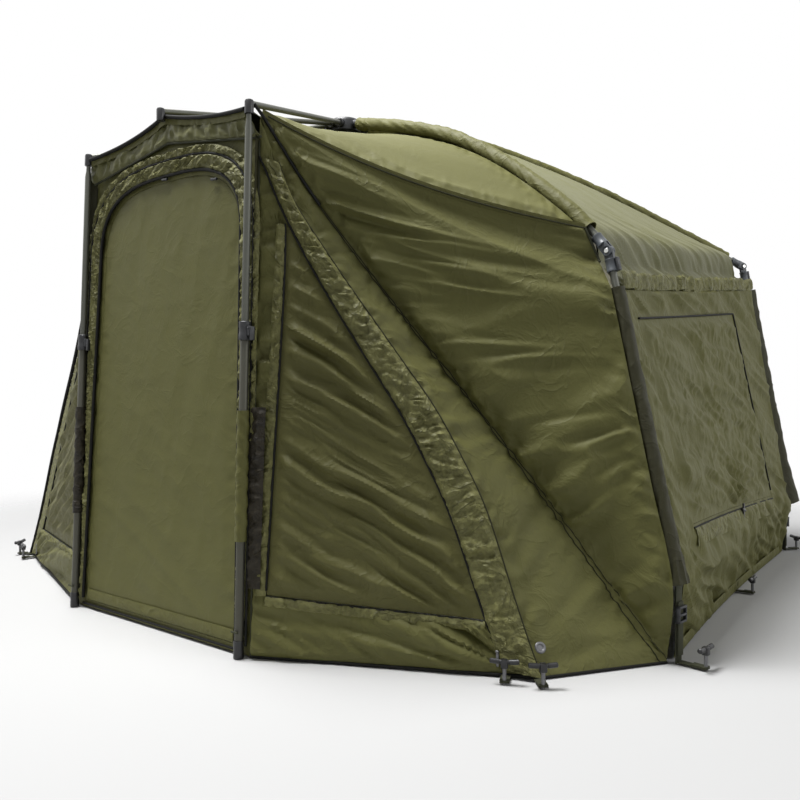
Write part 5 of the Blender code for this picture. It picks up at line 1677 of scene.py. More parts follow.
def build_pole_wraps(side):
    """The cloth tube that holds the storm pole, its ruche, the flap above and the tab at the foot."""
    sign, wall = 1.0 if side == "right" else -1.0, ["front_wall_cloth"]
    foot, axis = hand_point(POLE_FOOT, side), hand_point(POLE_AXIS, side)
    line = [foot + axis * (WRAP_BOTTOM + (WRAP_TOP - WRAP_BOTTOM) * i / 40) for i in range(41)]
    grid = []
    for i, point in enumerate(line):
        grid.append([])
        for k in range(33):
            angle = 2 * math.pi * k / 32
            wave = 0.0013 * math.sin(i * 1.1 + 2.0 * math.sin(angle)) + 0.0008 * math.sin(i * 2.3 + 3 * angle)
            radius = 0.0150 + wave * min(1, i / 3, (40 - i) / 3)
            grid[-1].append(tuple(point + Vector((math.cos(angle), math.sin(angle), 0.0)) * radius))
    grid = np.array(grid)
    grid[:, -1] = grid[:, 0]
    # The left pole's wrap takes the dark wrap look as painted shade; the right one takes the olive cloth.
    middle, look = tuple((line[0] + line[-1]) / 2), "cloth" if side == "right" else "wrap"
    form = {"thickness": 0.0015, "inside": middle, "ring": True}
    sew(f"pole_wrap_{side}", grid, "right", look, grid, wall, **form)
    start = np.array([(sign * 0.380, wall_y(z) - 0.006, z) for z in np.linspace(0.170, 0.612, 50)])
    end = start + np.array([sign * 0.044, 0.010, 0.0])
    # The ruche's dark colour is painted shade on the wrap's face turned from the light.
    ruche = (f"pole_ruche_{side}", start, end, "wrap", 0.002, 0.0090, 0.016, 530, 8, 0.005, wall, 0.0, 0.0170)
    band(*ruche, slot="dark_cloth")
    levels = np.linspace(0.640, 1.300, 60)
    near = [(sign * (WALL_HALF_WIDTH - 0.030 * z / WALL_HEIGHT), wall_y(z) - 0.001, z) for z in levels]
    spread, lean = POLE_SPREAD + 0.009, FRONT_LINE + 0.0150
    far = [(sign * (spread - 0.010 * z / PEAK_HEIGHT), lean + 0.046 * z / PEAK_HEIGHT, z) for z in levels]
    # The flap takes the sleeve look, whose darkened olive is painted shade.
    band(f"pole_flap_{side}", near, far, "sleeve", 0.0, 0.0010, 0.030, 540, 4, 0.008, wall, 0.0, 0.0160)
    spot = Matrix.Translation((sign * 0.372, wall_y(0.07) - 0.008, 0.070))
    tab = Form().block((-0.010, -0.002, -0.018), (0.010, 0.002, 0.018), spot)
    tab.rod((sign * 0.366, FRONT_LINE - 0.013, 0.066), (sign * 0.390, FRONT_LINE - 0.013, 0.066), 0.0025)
    tab.piece(f"pole_tab_{side}", "webbing", "dark_cloth")


def build_front_wall():
    """The wall round the door, its crinkled zip flaps, the pole wraps and the tabs at the poles' feet."""
    inner = door_outline(0.0010)
    far = wall_outline(inner)
    rows, count = [], cells(0.16)
    for i in range(count + 1):
        share = i / count
        side = [(a + (c - a) * share, b + (d - b) * share) for (a, b), (c, d) in zip(inner, far)]
        loop = side + [(-x, z) for x, z in reversed(side)] + side[:1]
        rows.append([(x, wall_y(z), z) for x, z in loop])
    plain = np.array(rows)
    x, z = plain[..., 0], plain[..., 2]
    amount = folds(z, x, 0.035, 0.12, 501) * 0.0035 + crinkles(x, z, 0.03, 502) * 0.0012
    grid = raised(plain, amount * ring_hold(plain, 0.015, 0.015) * wrinkle_share())
    grid[:, -1] = grid[:, 0]
    sew("front_wall_cloth", grid, "right", "cloth", plain, ["porch_roof"], node="front_wall", ring=True)

    zip_edge = arch(0.322, 0.352, 1.030, 1.252, 0.030)
    flap_edge = arch(0.374, 0.392, 1.000, 1.294, 0.030)
    gather_edge = arch(0.390, 0.396, 1.010, 1.318, 0.030)[8:-8] + FORWARD * 0.002
    look, wall = "crinkled", ["front_wall_cloth"]
    ends = zip_edge + FORWARD * 0.002, flap_edge + FORWARD * 0.002
    band("door_flap_band", *ends, look, 0.003, 0.0085, 0.017, 510, 14, 0.005, wall, 0.004, 0.0165)
    ends = flap_edge[8:-8] + FORWARD * 0.004, gather_edge
    band("door_gather_band", *ends, look, 0.002, 0.0085, 0.015, 520, 8, 0.005, wall, 0.002, 0.0165)
    trim("door_zip_line", zip_edge + FORWARD * 0.009, 0.0046)
    trim("door_flap_line", flap_edge + FORWARD * 0.011, 0.0034)
    sill = np.array([(x, wall_y(0.012), 0.012) for x in np.linspace(-0.36, 0.36, 60)])
    trim("door_sill_line", sill + FORWARD * 0.004, 0.0034)
    for name, x, z in (("l6", -0.006, 1.243), ("r211", 0.211, 1.208)):
        toggle = Form().rod((x - 0.012, wall_y(z) - 0.012, z), (x + 0.012, wall_y(z) - 0.012, z - 0.002), 0.0035)
        toggle.piece(f"door_toggle_{name}", "plastic", "dark_cloth")
    for side in SIDES:
        build_pole_wraps(side)


def build_door():
    """The zipped door panel: smooth cloth with faint slanting wrinkles and a narrow hem."""
    columns = cells(0.62)
    rows = []
    for reach, level in reversed(door_outline(0.0)):
        rows.append([(reach * (1 - 2 * k / columns), wall_y(level), level) for k in range(columns + 1)])
    rows = np.array(rows)
    keep = [0]
    for i in range(1, len(rows)):
        if rows[keep[-1]][0][2] - rows[i][0][2] > 0.004 or i == len(rows) - 1:
            keep.append(i)
    rows = rows[keep]
    grid = refine(rows, even_counts(rows[:, :1], step()))
    x, z, out = grid[..., 0], grid[..., 2], run_of(grid, 1)
    amount = folds(z + 0.55 * x, x, 0.10, 0.6, 601) * 0.0016 * smooth(0.75, 0.45, z)
    amount = amount + folds(x * 0.9 - 0.25 * z, z, 0.10, 0.9, 602) * 0.0014 + crinkles(x, z, 0.05, 603) * 0.0006
    amount = (amount + 0.002) * edge_hold(grid, 0.06)
    near = np.minimum(out, out[:, -1:] - out)
    amount += folds(z, near, 0.028, 0.08, 604) * 0.0020 * smooth(0.06, 0.0, near) * edge_hold(grid, 0.008)
    grid, plain = raised(grid, amount * wrinkle_share()), grid
    sew("door_cloth", grid, "right", "taut", plain, ["front_wall_cloth"], node="door_panel", body="door")
    x = np.linspace(-0.336, 0.336, 60)
    low, high = (np.array([(at * k, wall_y(z) - 0.001, z) for at in x]) for z, k in ((0.028, 1.0), (0.058, 0.995)))
    hem = ("door_hem_band", high, low, "cloth", 0.003, 0.0012, 0.03, 610, 6, 0.008, ["door_cloth"])
    band(*hem, body="door")


# ---------------------------------------------------------------- tubes, sleeves and fittings


def tube_grid(line, radius_of, around=24):
    """Rings round a line of points; radius_of gives the radius at a share of the line and an angle."""
    points = [Vector(p) for p in line]
    rings = []
    across = None
    for i, point in enumerate(points):
        way = (points[min(i + 1, len(points) - 1)] - points[max(i - 1, 0)]).normalized()
        if across is None:
            across = UP - way * way.z
        across = (across - way * across.dot(way)).normalized()
        side = way.cross(across)
        ring = []
        for k in range(around + 1):
            angle = 2 * math.pi * (k % around) / around
            out = across * math.cos(angle) + side * math.sin(angle)
            ring.append(tuple(point + out * radius_of(i / (len(points) - 1), angle)))
        rings.append(ring)
    return np.array(rings)


def puckered(base, depth, length, pitch, seed):
    """A radius with puckers round it, as a cloth sleeve that is stretched over a tube has."""

    def radius(share, angle):
        along = share * length / pitch
        value = folds(np.array(along + 2.0 * math.cos(angle)), np.array(2.5 * math.sin(angle)), 1.0, 2.5, seed)
        ends = min(1.0, share * length / 0.01, (1 - share) * length / 0.01)
        return base + (float(value) - 0.35) * depth * ends

    return radius


def tube_object(name, grid, look):
    """A closed tube from rings, with flat ends."""
    rows, used = grid.shape[0], grid.shape[1] - 1
    faces = []
    for i in range(rows - 1):
        for k in range(used):
            a, b = i * used + k, i * used + (k + 1) % used
            faces.append((a, b, b + used, a + used))
    faces.append(tuple(range(used))[::-1])
    faces.append(tuple((rows - 1) * used + k for k in range(used)))
    made = mesh_object(name, grid[:, :used].reshape(-1, 3), faces, look, keen=math.radians(40))
    body = bmesh.new()
    body.from_mesh(made.data)
    bmesh.ops.recalc_face_normals(body, faces=body.faces)
    body.to_mesh(made.data)
    body.free()
    return made


def build_ribs():
    """Main ribs as smooth tubes with their puckered sleeves, and the three short peak ribs with their caps."""
    for name, rib in RIBS.items():
        line = rib.upper(HUB_SOCKET_REACH + CLEARANCE, TUBE_SEAT + CLEARANCE)
        fine = refine(line, even_counts(np.array([tuple(p) for p in line]), 0.02))
        grid = tube_grid(fine, lambda share, angle: TUBE_RADIUS, 20)
        line = rib.upper(HUB_SOCKET_REACH + CLEARANCE, SLEEVE_REST)
        fine = refine(line, even_counts(np.array([tuple(p) for p in line]), max(0.006, step() * 0.8)))
        length = float(run_of(fine[:, None, :], 0)[-1, 0])
        for side in SIDES:
            seed = (701 if name == "front" else 721) + (0 if side == "right" else 9)
            pipe = tube_object(f"rib_{name}_{side}_tube", on_side(grid, side), LOOKS["tube"])
            dress(pipe, "tube", f"rib_{name}_{side}")
            cloth = tube_grid(fine, puckered(SLEEVE_RADIUS - 0.0004, 0.0028, length, 0.030, seed), 24)
            form = {"thickness": 0.0018, "inside": tuple(on_side(cloth.mean(axis=(0, 1)), side)), "ring": True}
            node = f"rib_sleeve_{name}_{side}"
            sew(node + "_cloth", cloth, side, "cloth", cloth, [pipe.name], "dark_cloth", node, **form)
    for name, tip in (("right", PEAK), ("centre", PEAK_CENTRE), ("left", flipped(PEAK))):
        start = hub_face(peak_direction(tip), HUB_SOCKET_REACH + CLEARANCE)
        pipe = Form().rod(start, tip, 0.0080, 24)
        pipe.piece(f"peak_rib_{name}_tube", "tube", "tube", f"peak_rib_{name}")
        axis = UP if name == "centre" else hand_point(POLE_AXIS, name)
        foot = ((0.0, -TIP_HEIGHT),) if name == "centre" else ((0.0062, -TIP_HEIGHT),)
        cap = Form().turn(foot + CAP_PROFILE, Matrix.Translation(tip) @ turned_to(axis), 28)
        cap.piece(f"peak_cap_{name}", "cap", "black_plastic")


def build_legs():
    """Leg tubes, puckered sleeves with their flared ends, and the buckled straps down to the pegs."""
    for name, rib in RIBS.items():
        top, pocket = rib.on_leg(LEG_SLEEVE_TOP), rib.leg_at(POCKET_HEIGHT)
        length = (pocket - top).length
        count = int(length / max(0.007, step() * 0.9))
        line = [top.lerp(pocket, i / count) for i in range(count + 1)]
        flare, flap = (0.004, 0.0) if name == "front" else (0.008, 1.0)
        for side in SIDES:
            seed = (741 if name == "front" else 761) + (0 if side == "right" else 9)
            body = f"leg_{name}_{side}"
            start, end = hand_point(rib.on_leg(TUBE_SEAT + CLEARANCE), side), hand_point(pocket, side)
            tube, node = f"leg_tube_{name}_{side}", f"leg_sleeve_{name}_{side}"
            Form().rod(start, end, TUBE_RADIUS, 24).piece(tube + "_metal", "tube", "tube", tube, body)
            plain_radius = puckered(SLEEVE_RADIUS - 0.001, 0.0030, length, 0.040, seed)

            def radius(share, angle):
                low = max(0.0, share - 0.8)
                spread, pleat = flare * low / 0.2, 0.0022 * math.sin(angle * 9) * low / 0.2
                outer = flap * (0.018 + 0.024 * share**2) * max(0.0, math.cos(angle)) ** 4
                return plain_radius(share, angle) + spread + pleat + outer

            grid = tube_grid(line, radius, 28)
            form = {"thickness": 0.0020, "inside": tuple(hand_point((top + pocket) / 2, side)), "ring": True}
            # The leg sleeves take the sleeve look, whose darkened olive is painted shade.
            sew(node + "_cloth", grid, side, "sleeve", grid, [tube + "_metal"], "dark_cloth", node, body, **form)
            build_strap(name, rib, side, hand_point(pocket + rib.down * STRAP_GAP, side), body)


def build_strap(name, rib, side, foot, body):
    """The webbing from a leg's pocket down to its peg, with its ladder buckle."""
    place = Matrix.Translation((foot.x, foot.y, 0.0)) @ turned_to(UP, hand_point(rib.side, side))
    outward = (place.to_3x3() @ Vector((1, 0, 0))).dot(Vector((foot.x, foot.y - HUB.y, 0))) > 0
    out = 1.0 if outward else -1.0
    strap = Form().block((-0.0015, -0.014, 0.002), (0.0015, 0.014, POCKET_HEIGHT + 0.02), place, 0.0006)
    shift = 0.005 * out
    strap.block((-0.0015 + shift, -0.012, 0.020), (0.0015 + shift, 0.012, 0.150), place, 0.0006)
    strap.piece(f"leg_strap_{name}_{side}", "webbing", "dark_cloth", body=body)
    low, high = sorted((0.0, 0.012 * out))
    buckle = Form().block((low, -0.019, 0.100), (high, 0.019, 0.106), place, 0.001)
    low, high = sorted((0.002 * out, 0.013 * out))
    for z in (0.100, 0.116, 0.134):
        buckle.block((low, -0.019, z), (high, 0.019, z + 0.006), place, 0.0015)
    for y in (-0.019, 0.014):
        buckle.block((low, y, 0.100), (high, y + 0.005, 0.140), place, 0.0015)
    buckle.piece(f"leg_buckle_{name}_{side}", "plastic", "black_plastic", body=body)


def build_poles():
    """Telescopic storm poles: lower tube with foot, upper tube with spigot, and the lever clamp between them."""
    clamp_at = POLE_FOOT + POLE_AXIS * CLAMP_HEIGHT
    for side in SIDES:
        axis = hand_point(POLE_AXIS, side)
        foot, tip = hand_point(POLE_FOOT, side), hand_point(PEAK, side)
        tilt = turned_to(axis, Vector((1.0, 0.0, 0.0)))
        lower = Form().turn(LOWER_POLE, Matrix.Translation(foot) @ tilt, 36)
        lower.piece(f"pole_lower_{side}", "low_tube", "tube", f"storm_pole_lower_{side}")
        boot = Form().turn(POLE_BOOT, Matrix.Translation(foot), 32)
        boot.piece(f"pole_foot_{side}", "cap", "black_plastic")
        bottom = hand_point(clamp_at - POLE_AXIS * 0.200, side)
        length = (tip - axis * (TIP_HEIGHT + CLEARANCE) - bottom).length
        profile = UPPER_POLE_START + tuple((radius, length + over) for radius, over in UPPER_POLE_END)
        upper = Form().turn(profile, Matrix.Translation(bottom) @ turned_to(axis), 32)
        upper.piece(f"pole_upper_{side}", "tube", "tube", f"storm_pole_upper_{side}", f"upper_pole_{side}")
        at = Matrix.Translation(hand_point(clamp_at, side)) @ tilt
        clamp = Form().turn(CLAMP_PROFILE, at, 36)
        clamp.block((-0.006, 0.012, -0.002), (0.006, 0.024, 0.022), at, 0.0015)
        clamp.block((-0.0045, 0.022, -0.014), (0.0045, 0.033, 0.020), at, 0.002)
        clamp.bar(at, (-0.0085, 0.019, 0.016), (0.0085, 0.019, 0.016), 0.0025, 16)
        clamp.piece(f"pole_clamp_{side}_body", "plastic", "black_plastic", f"pole_clamp_{side}")


def build_gussets():
    """Pale linings that bridge the gap between two cloths under each elbow."""
    for name, rib in RIBS.items():
        lines = []
        for hand in (-1.0, 1.0):
            edge = rib.cloth_edge(hand)
            roof = len(edge) - HEM_STEPS - 3
            lines.append(refine(edge[roof - 1 : roof + 2], (6, 6), (1,)))
        share = np.linspace(0.0, 1.0, 9)[None, :, None]
        grid = lines[0][:, None] * (1 - share) + lines[1][:, None] * share
        grid = grid + unit(np.array(INSIDE) - grid) * 0.004
        for side in SIDES:
            sleeve = [f"rib_sleeve_{name}_{side}_cloth"]
            form = {"body": None, "thickness": STRIP_THICKNESS}
            made = sew(f"elbow_gusset_{name}_{side}", grid, side, "pale", grid, sleeve, **form)
            bend_at_elbow(made, rib, side)


def build_hub():
    """The round moulded block that the seven ribs plug into, with its button and rivets."""
    hub = Form().turn(HUB_PROFILE, Matrix.Translation(HUB), 56)
    ways = [FRONT.leaving, REAR.leaving, peak_direction(PEAK)]
    for way in ways + [flipped(way) for way in ways] + [peak_direction(PEAK_CENTRE)]:
        level = Vector((way.x, way.y, 0.0)).normalized()
        hub.rod(HUB + level * HUB_RADIUS - way * 0.014, hub_face(way), 0.014, 28, 0.0016)
        hub.rod(hub_face(way, 0.066), hub_face(way, 0.070), 0.0146, 28, 0.001)
        across, middle = level.cross(UP), HUB + level * 0.046
        hub.rod(middle - across * 0.018, middle + across * 0.018, 0.0055, 16)
    for k in range(6):
        angle = math.pi * k / 3 + 0.3
        spot = HUB + Vector((0.036 * math.cos(angle), 0.036 * math.sin(angle), 0.020))
        hub.rod(spot, spot + Vector((0.0, 0.0, 0.0045)), 0.0045, 16)
    hub.piece("hub_moulding", "plastic", "black_plastic", "hub_block")


def build_elbows():
    """Sockets with ears, knuckles with tongue and pin, and the locking levers."""
    for name, rib in RIBS.items():
        above = Matrix.Translation(rib.pivot) @ turned_to(-rib.arriving, rib.side)
        below = Matrix.Translation(rib.pivot) @ turned_to(rib.down, rib.side)
        outward = (below.to_3x3() @ Vector((1.0, 0.0, 0.0))).dot(rib.pivot - HUB) > 0
        out = 1.0 if outward else -1.0
        socket = Form()
        for hand in (-1.0, 1.0):
            low, high = sorted((hand * 0.0054, hand * 0.0104))
            socket.block((-0.0130, low, 0.0), (0.0130, high, 0.027), above, 0.001)
            socket.bar(above, (0.0, low, 0.0), (0.0, high, 0.0), 0.0135, 32)
        socket.turn(BARREL_PROFILE, above, 32)
        knuckle = Form().block((-0.0130, -0.0050, 0.0), (0.0130, 0.0050, 0.027), below, 0.001)
        knuckle.bar(below, (0.0, -0.0050, 0.0), (0.0, 0.0050, 0.0), 0.0135, 32)
        knuckle.turn(BARREL_PROFILE, below, 32)
        pin = Form().bar(below, (0.0, -0.0128, 0.0), (0.0, 0.0128, 0.0), 0.0040, 20)
        for hand in (-1.0, 1.0):
            low, high = sorted((hand * 0.0108, hand * 0.0130))
            pin.bar(below, (0.0, low, 0.0), (0.0, high, 0.0), 0.0062, 20)
        middle = out * 0.0194
        low, high = sorted((middle - 0.0036, middle + 0.0036))
        lever = Form().bar(below, (middle, -0.006, 0.026), (middle, 0.006, 0.026), 0.0040, 20)
        lever.block((low, -0.006, 0.026), (high, 0.006, 0.058), below, 0.0014)
        for k in range(3):
            at, edge = 0.044 + 0.004 * k, middle + out * 0.0036
            a, b = sorted((edge - 0.001, edge + 0.0008))
            lever.block((a, -0.005, at), (b, 0.005, at + 0.0018), below, 0.0004)
        for part, form, label, look, body in (
            ("socket", socket, "_body", "elbow", "root"),
            ("knuckle", knuckle, "_body", "elbow", f"leg_{name}_"),
            ("pin", pin, "", "steel", f"leg_{name}_"),
            ("lever", lever, "_blade", "plastic", f"elbow_lever_{name}_"),
        ):
            made = form.done(f"elbow_{part}_{name}_right{label}", LOOKS[look])
            for side in SIDES:
                piece = made if side == "right" else mirrored(made, f"elbow_{part}_{name}_left{label}")
                node = None if part == "pin" else f"elbow_{part}_{name}_{side}"
                rides = body if body == "root" else body + side + ("_body" if part == "lever" else "")
                dress(piece, "black_plastic", node, rides)


def peg_spots():
    """Where each peg stands, which way it leans out and how far its loop reaches back."""
    spots = {}
    for name, rib in RIBS.items():
        strap = rib.leg_at(POCKET_HEIGHT) + rib.down * STRAP_GAP
        spot = rib.foot + rib.out * 0.024
        hold = (spot - strap).dot(rib.out) - 0.002
        for side in SIDES:
            spots[f"{name}_foot_{side}"] = (hand_point(spot, side), hand_point(rib.out, side), hold)
    out = Vector((1.0, 0.0, 0.0))
    for side in SIDES:
        spots[f"side_{side}"] = (hand_point(HEM_MIDDLE + out * PEG_REACH, side), hand_point(out, side), 0.0535)
    for side in SIDES:
        corner = WING_CORNERS[side]
        to_door = (Vector((WALL_HALF_WIDTH, FRONT_LINE + 0.020, HEM_LIFT)) - corner).normalized()
        out = -(to_door + (FRONT.hem - corner).normalized()).normalized()
        spots[f"wing_{side}"] = (hand_point(corner + out * PEG_REACH, side), hand_point(out, side), PEG_REACH)
        inner = corner + to_door * 0.070
        out = (out - to_door * out.dot(to_door)).normalized()
        spot, reach = hand_point(inner + out * INNER_PEG_REACH, side), INNER_PEG_REACH
        spots[f"wing_inner_{side}"] = (spot, hand_point(out, side), reach)
    return spots


def build_pegs():
    """T-pegs with winged grips, each in a webbing loop."""
    for name, (spot, out, hold) in peg_spots().items():
        ground = Vector((spot.x, spot.y, 0.0))
        place = Matrix.Translation(ground) @ turned_to(UP, out)
        peg = Form().rod(ground + Vector((0, 0, 0.0002)), ground + Vector((0, 0, 0.050)), 0.0045, 20)
        peg.piece(f"peg_{name}_shank", "steel_dark", "peg", None if "inner" in name else f"peg_{name}")
        grip = Form().bar(place, (-0.033, 0, 0.052), (-0.010, 0, 0.050), 0.0060, 20, 0.002)
        grip.bar(place, (0.010, 0, 0.050), (0.033, 0, 0.052), 0.0060, 20, 0.002)
        grip.bar(place, (-0.012, 0, 0.050), (0.012, 0, 0.050), 0.0052, 20)
        grip.block((-0.008, -0.008, 0.036), (0.008, 0.008, 0.056), place, 0.003)
        grip.piece(f"peg_{name}_grip", "cap", "peg")
        loop = Form().block((-0.011, -hold + 0.0004, 0.0040), (0.011, 0.006, 0.0070), place, 0.0008)
        loop.block((-0.011, -hold * 0.5, 0.0072), (0.011, 0.005, 0.0098), place, 0.0008)
        loop.piece(f"peg_{name}_loop", "webbing", "dark_cloth")


# ---------------------------------------------------------------- stage


def build_stage():
    """A pale floor, soft studio light, a white background for the camera and the camera itself."""
    plane = bpy.data.meshes.new("floor")
    plane.from_pydata([(-30, -30, -0.001), (30, -30, -0.001), (30, 30, -0.001), (-30, 30, -0.001)], [], [(0, 1, 2, 3)])
    paper = Look("paper", {"Base Color": (0.55, 0.55, 0.55, 1.0), "Roughness": 0.9})
    away = paper.add("ShaderNodeVectorMath", {"operation": "LENGTH"}, {0: paper.object_place}, "Value")
    edges = {"Value": away, 1: 1.7, 2: 3.4, 3: 1.0, 4: 0.0}
    paper.link("Alpha", paper.add("ShaderNodeMapRange", {"interpolation_type": "SMOOTHSTEP"}, edges))
    plane.materials.append(paper.material)
    placed("floor", plane)

    scene = bpy.context.scene
    lights = scene.bivvy_stage
    for name, spot, size, power in (
        ("top_box", (-0.6, -1.5, 5.0), 1.8, lights.top_power),
        ("left_box", (-4.6, -3.2, 2.8), 2.0, lights.left_power),
        ("right_box", (4.8, 1.0, 2.6), 2.6, lights.right_power),
    ):
        data = bpy.data.lights.new(name, "AREA")
        data.energy, data.size = power, size
        lamp = placed(name, data)
        lamp.location = spot
        lamp.rotation_euler = (Vector((0.0, 0.0, 0.6)) - Vector(spot)).to_track_quat("-Z", "Y").to_euler()

    world = bpy.data.worlds.new("studio")
    scene.world = world
    world.use_nodes = True
    world.node_tree.nodes.clear()
    air = Graph(world.node_tree)
    rays = [air.add("ShaderNodeLightPath", out=f"Is {ray} Ray") for ray in ("Camera", "Glossy", "Transmission")]
    seen = air.math("MAXIMUM", air.math("MAXIMUM", rays[0], rays[1]), rays[2])
    ambient, white = (
        air.add("ShaderNodeBackground", inputs={"Color": (1.0, 1.0, 1.0, 1.0), "Strength": strength})
        for strength in (lights.ambient, 1.0)
    )
    mix = air.add("ShaderNodeMixShader", inputs={0: seen, 1: ambient, 2: white})
    output = air.tree.nodes.new("ShaderNodeOutputWorld")
    air.tree.links.new(mix.socket, output.inputs["Surface"])

    data = bpy.data.cameras.new("camera")
    data.lens, data.sensor_width = 36.0, 36.0
    camera = placed("camera", data)
    camera.location = (1.900, -2.443185, 0.65)
    camera.rotation_euler = Vector((-0.6232, 0.782, -0.010)).to_track_quat("-Z", "Y").to_euler()
    scene.camera = camera
    scene.view_settings.view_transform = "Standard"


# ---------------------------------------------------------------- add-on


def colour(name, description, *default):
    """A colour that a user can change."""
    return bpy.props.FloatVectorProperty(name=name, description=description, default=default, subtype="COLOR", size=3)


def power(name, description, watts):
    """The power of a light."""
    return bpy.props.FloatProperty(name=name, description=description, default=watts, unit="POWER")


class BivvyClothSettings(bpy.types.PropertyGroup):
    """Colours and folds of the cloth."""

    wrinkles: bpy.props.FloatProperty(
        name="Wrinkles", description="How deep the folds are", default=1.0, min=0.0, max=3.0
    )
    cell: bpy.props.FloatProperty(
        name="Cell", description="Size of the cloth's mesh cells", default=0.0085, min=0.005, max=0.05, unit="LENGTH"
    )
    cloth_colour: colour("Cloth", "Olive of the walls and the door", 0.116, 0.114, 0.034)
    roof_colour: colour("Roof", "Olive of the taut roof", 0.134, 0.134, 0.050)
    cover_colour: colour("Covers", "Darker olive of the window covers", 0.108, 0.104, 0.032)
    # Sleeves: the olive darkened as painted shade.
    painted_shade_sleeve_colour: colour("Sleeves", "Dark olive of the sleeves", 0.028, 0.027, 0.010)
    # Bands: lighter than the cloth as a painted highlight on the bulging bands.
    band_colour_with_painted_highlight: colour("Bands", "Olive of the crinkled bands", 0.150, 0.147, 0.052)
    # Wraps: painted shade on the pole wraps' faces turned from the light.
    painted_shade_wrap_colour: colour("Wraps", "Dark brown of the pole wraps", 0.014, 0.011, 0.005)
    lining_colour: colour("Lining", "Khaki of the linings under the elbows", 0.42, 0.40, 0.29)
    # Seams: partly the dark thread and partly painted shade of the groove along each seam.
    seam_thread_and_groove_shade_colour: colour("Seams", "Dark olive of the creases along seams", 0.028, 0.028, 0.013)
    webbing_colour: colour("Webbing", "Dark olive of webbing and thread", 0.040, 0.042, 0.024)


class BivvyFittingSettings(bpy.types.PropertyGroup):
    """Colours of tubes and moulded fittings."""

    tube_colour: colour("Tubes", "Grey of the satin tubes", 0.105, 0.108, 0.090)
    low_tube_colour: colour("Lower tubes", "Darker grey of the poles' lower tubes", 0.062, 0.061, 0.046)
    plastic_colour: colour("Plastic", "Black of the moulded fittings", 0.014, 0.015, 0.017)
    elbow_colour: colour("Elbows", "Blue-grey of the elbows", 0.055, 0.062, 0.070)
    cap_colour: colour("Caps", "Black of caps, feet and grips", 0.008, 0.008, 0.009)
    piping_colour: colour("Piping", "Black of zips and piping", 0.005, 0.005, 0.004)


class BivvyStageSettings(bpy.types.PropertyGroup):
    """Light of the studio."""

    top_power: power("Top", "Power of the large box overhead", 420.0)
    left_power: power("Left", "Power of the box at the front left", 26.0)
    right_power: power("Right", "Power of the box at the right", 62.0)
    ambient: bpy.props.FloatProperty(name="Ambient", description="Strength of the light from all round", default=0.12)


class BIVVY_OT_looks(bpy.types.Operator):
    """Makes the materials and the geometry trees that the pieces use."""

    bl_idname = "bivvy.looks"
    bl_label = "Make Looks"

    def execute(self, context):
        make_looks()
        TREES.update(tube=tube_group(), beads=bead_group())
        return {"FINISHED"}


class BIVVY_OT_hub(bpy.types.Operator):
    """Builds the hub that the ribs plug into."""

    bl_idname = "bivvy.hub"
    bl_label = "Build Hub"

    def execute(self, context):
        build_hub()
        return {"FINISHED"}


class BIVVY_OT_ribs(bpy.types.Operator):
    """Builds the ribs, their sleeves and the peak caps."""

    bl_idname = "bivvy.ribs"
    bl_label = "Build Ribs"

    def execute(self, context):
        build_ribs()
        return {"FINISHED"}


class BIVVY_OT_elbows(bpy.types.Operator):
    """Builds the elbows with their locking levers."""

    bl_idname = "bivvy.elbows"
    bl_label = "Build Elbows"

    def execute(self, context):
        build_elbows()
        return {"FINISHED"}


class BIVVY_OT_gussets(bpy.types.Operator):
    """Builds the pale linings under the elbows."""

    bl_idname = "bivvy.gussets"
    bl_label = "Build Gussets"

    def execute(self, context):
        build_gussets()
        return {"FINISHED"}


class BIVVY_OT_legs(bpy.types.Operator):
    """Builds the legs, their sleeves and straps."""

    bl_idname = "bivvy.legs"
    bl_label = "Build Legs"

    def execute(self, context):
        build_legs()
        return {"FINISHED"}


class BIVVY_OT_poles(bpy.types.Operator):
    """Builds the storm poles and their clamps."""

    bl_idname = "bivvy.poles"
    bl_label = "Build Poles"

    def execute(self, context):
        build_poles()
        return {"FINISHED"}


class BIVVY_OT_canopy(bpy.types.Operator):
    """Builds the porch roof with piping and valance."""

    bl_idname = "bivvy.canopy"
    bl_label = "Build Porch Roof"

    def execute(self, context):
        build_canopy()
        return {"FINISHED"}


class BIVVY_OT_front_quarters(bpy.types.Operator):
    """Builds roof, flank and gore of both sides."""

    bl_idname = "bivvy.front_quarters"
    bl_label = "Build Front Quarters"

    def execute(self, context):
        for side in SIDES:
            build_front_quarter(side)
        return {"FINISHED"}


class BIVVY_OT_front_wall(bpy.types.Operator):
    """Builds the wall round the door with its bands and wraps."""

    bl_idname = "bivvy.front_wall"
    bl_label = "Build Front Wall"

    def execute(self, context):
        build_front_wall()
        return {"FINISHED"}


class BIVVY_OT_door(bpy.types.Operator):
    """Builds the door panel."""

    bl_idname = "bivvy.door"
    bl_label = "Build Door"

    def execute(self, context):
        build_door()
        return {"FINISHED"}


class BIVVY_OT_wings(bpy.types.Operator):
    """Builds the wings and their window covers."""

    bl_idname = "bivvy.wings"
    bl_label = "Build Wings"

    def execute(self, context):
        for side in SIDES:
            build_wing(side)
        return {"FINISHED"}


class BIVVY_OT_side_quarters(bpy.types.Operator):
    """Builds roof, wall and window of both sides."""

    bl_idname = "bivvy.side_quarters"
    bl_label = "Build Side Quarters"

    def execute(self, context):
        for side in SIDES:
            build_side_quarter(side)
        return {"FINISHED"}


class BIVVY_OT_rear(bpy.types.Operator):
    """Builds the rear roof and wall."""

    bl_idname = "bivvy.rear"
    bl_label = "Build Rear"

    def execute(self, context):
        build_rear_quarter()
        return {"FINISHED"}


class BIVVY_OT_pegs(bpy.types.Operator):
    """Builds the pegs with their loops."""

    bl_idname = "bivvy.pegs"
    bl_label = "Build Pegs"

    def execute(self, context):
        build_pegs()
        return {"FINISHED"}


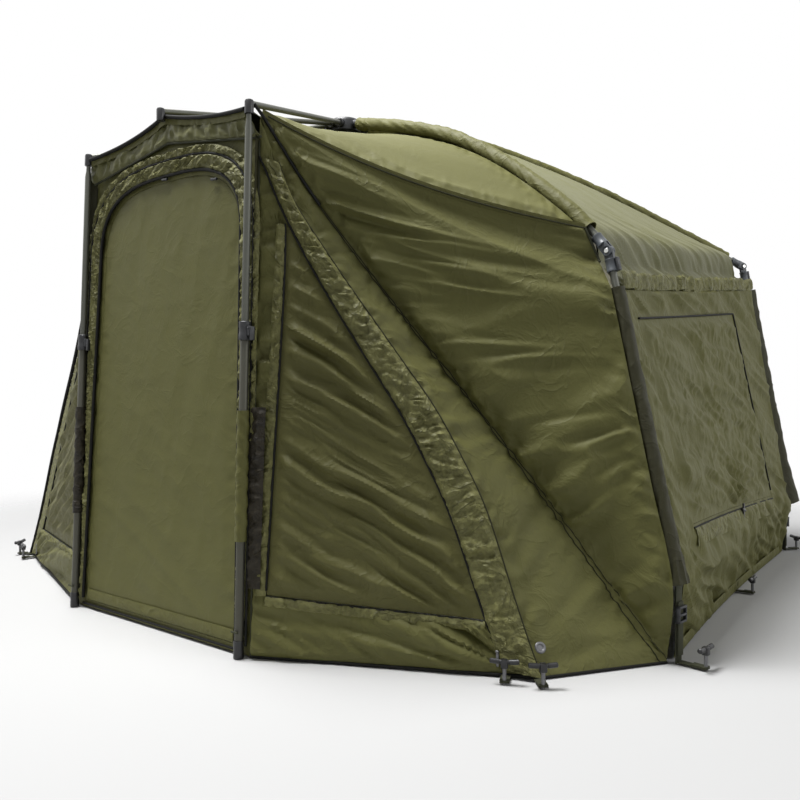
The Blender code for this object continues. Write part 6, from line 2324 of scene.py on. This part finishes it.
class BIVVY_OT_stage(bpy.types.Operator):
    """Builds floor, lights, background and camera."""

    bl_idname = "bivvy.stage"
    bl_label = "Build Stage"

    def execute(self, context):
        build_stage()
        return {"FINISHED"}


OPERATORS = (
    BIVVY_OT_looks,
    BIVVY_OT_hub,
    BIVVY_OT_ribs,
    BIVVY_OT_elbows,
    BIVVY_OT_gussets,
    BIVVY_OT_legs,
    BIVVY_OT_poles,
    BIVVY_OT_canopy,
    BIVVY_OT_front_quarters,
    BIVVY_OT_front_wall,
    BIVVY_OT_door,
    BIVVY_OT_wings,
    BIVVY_OT_side_quarters,
    BIVVY_OT_rear,
    BIVVY_OT_pegs,
    BIVVY_OT_stage,
)


class BIVVY_PT_panel(bpy.types.Panel):
    """Buttons that build the shelter's pieces, and their settings."""

    bl_label = "Bivvy Tent"
    bl_idname = "BIVVY_PT_panel"
    bl_space_type = "VIEW_3D"
    bl_region_type = "UI"
    bl_category = "Bivvy"

    def draw(self, context):
        for entry in OPERATORS:
            self.layout.operator(entry.bl_idname)
        for owner in (context.scene.bivvy_cloth, context.scene.bivvy_fittings, context.scene.bivvy_stage):
            for key in owner.__annotations__:
                self.layout.prop(owner, key)


CLASSES = (BivvyClothSettings, BivvyFittingSettings, BivvyStageSettings, *OPERATORS, BIVVY_PT_panel)


def register():
    for entry in CLASSES:
        bpy.utils.register_class(entry)
    bpy.types.Scene.bivvy_cloth = bpy.props.PointerProperty(type=BivvyClothSettings)
    bpy.types.Scene.bivvy_fittings = bpy.props.PointerProperty(type=BivvyFittingSettings)
    bpy.types.Scene.bivvy_stage = bpy.props.PointerProperty(type=BivvyStageSettings)


def unregister():
    del bpy.types.Scene.bivvy_cloth, bpy.types.Scene.bivvy_fittings, bpy.types.Scene.bivvy_stage
    for entry in reversed(CLASSES):
        bpy.utils.unregister_class(entry)


def main():
    """Builds the whole shelter and its stage, in the order of the operators."""
    register()
    for entry in OPERATORS:
        getattr(bpy.ops.bivvy, entry.bl_idname.split(".")[1])()


if __name__ == "__main__":
    main()
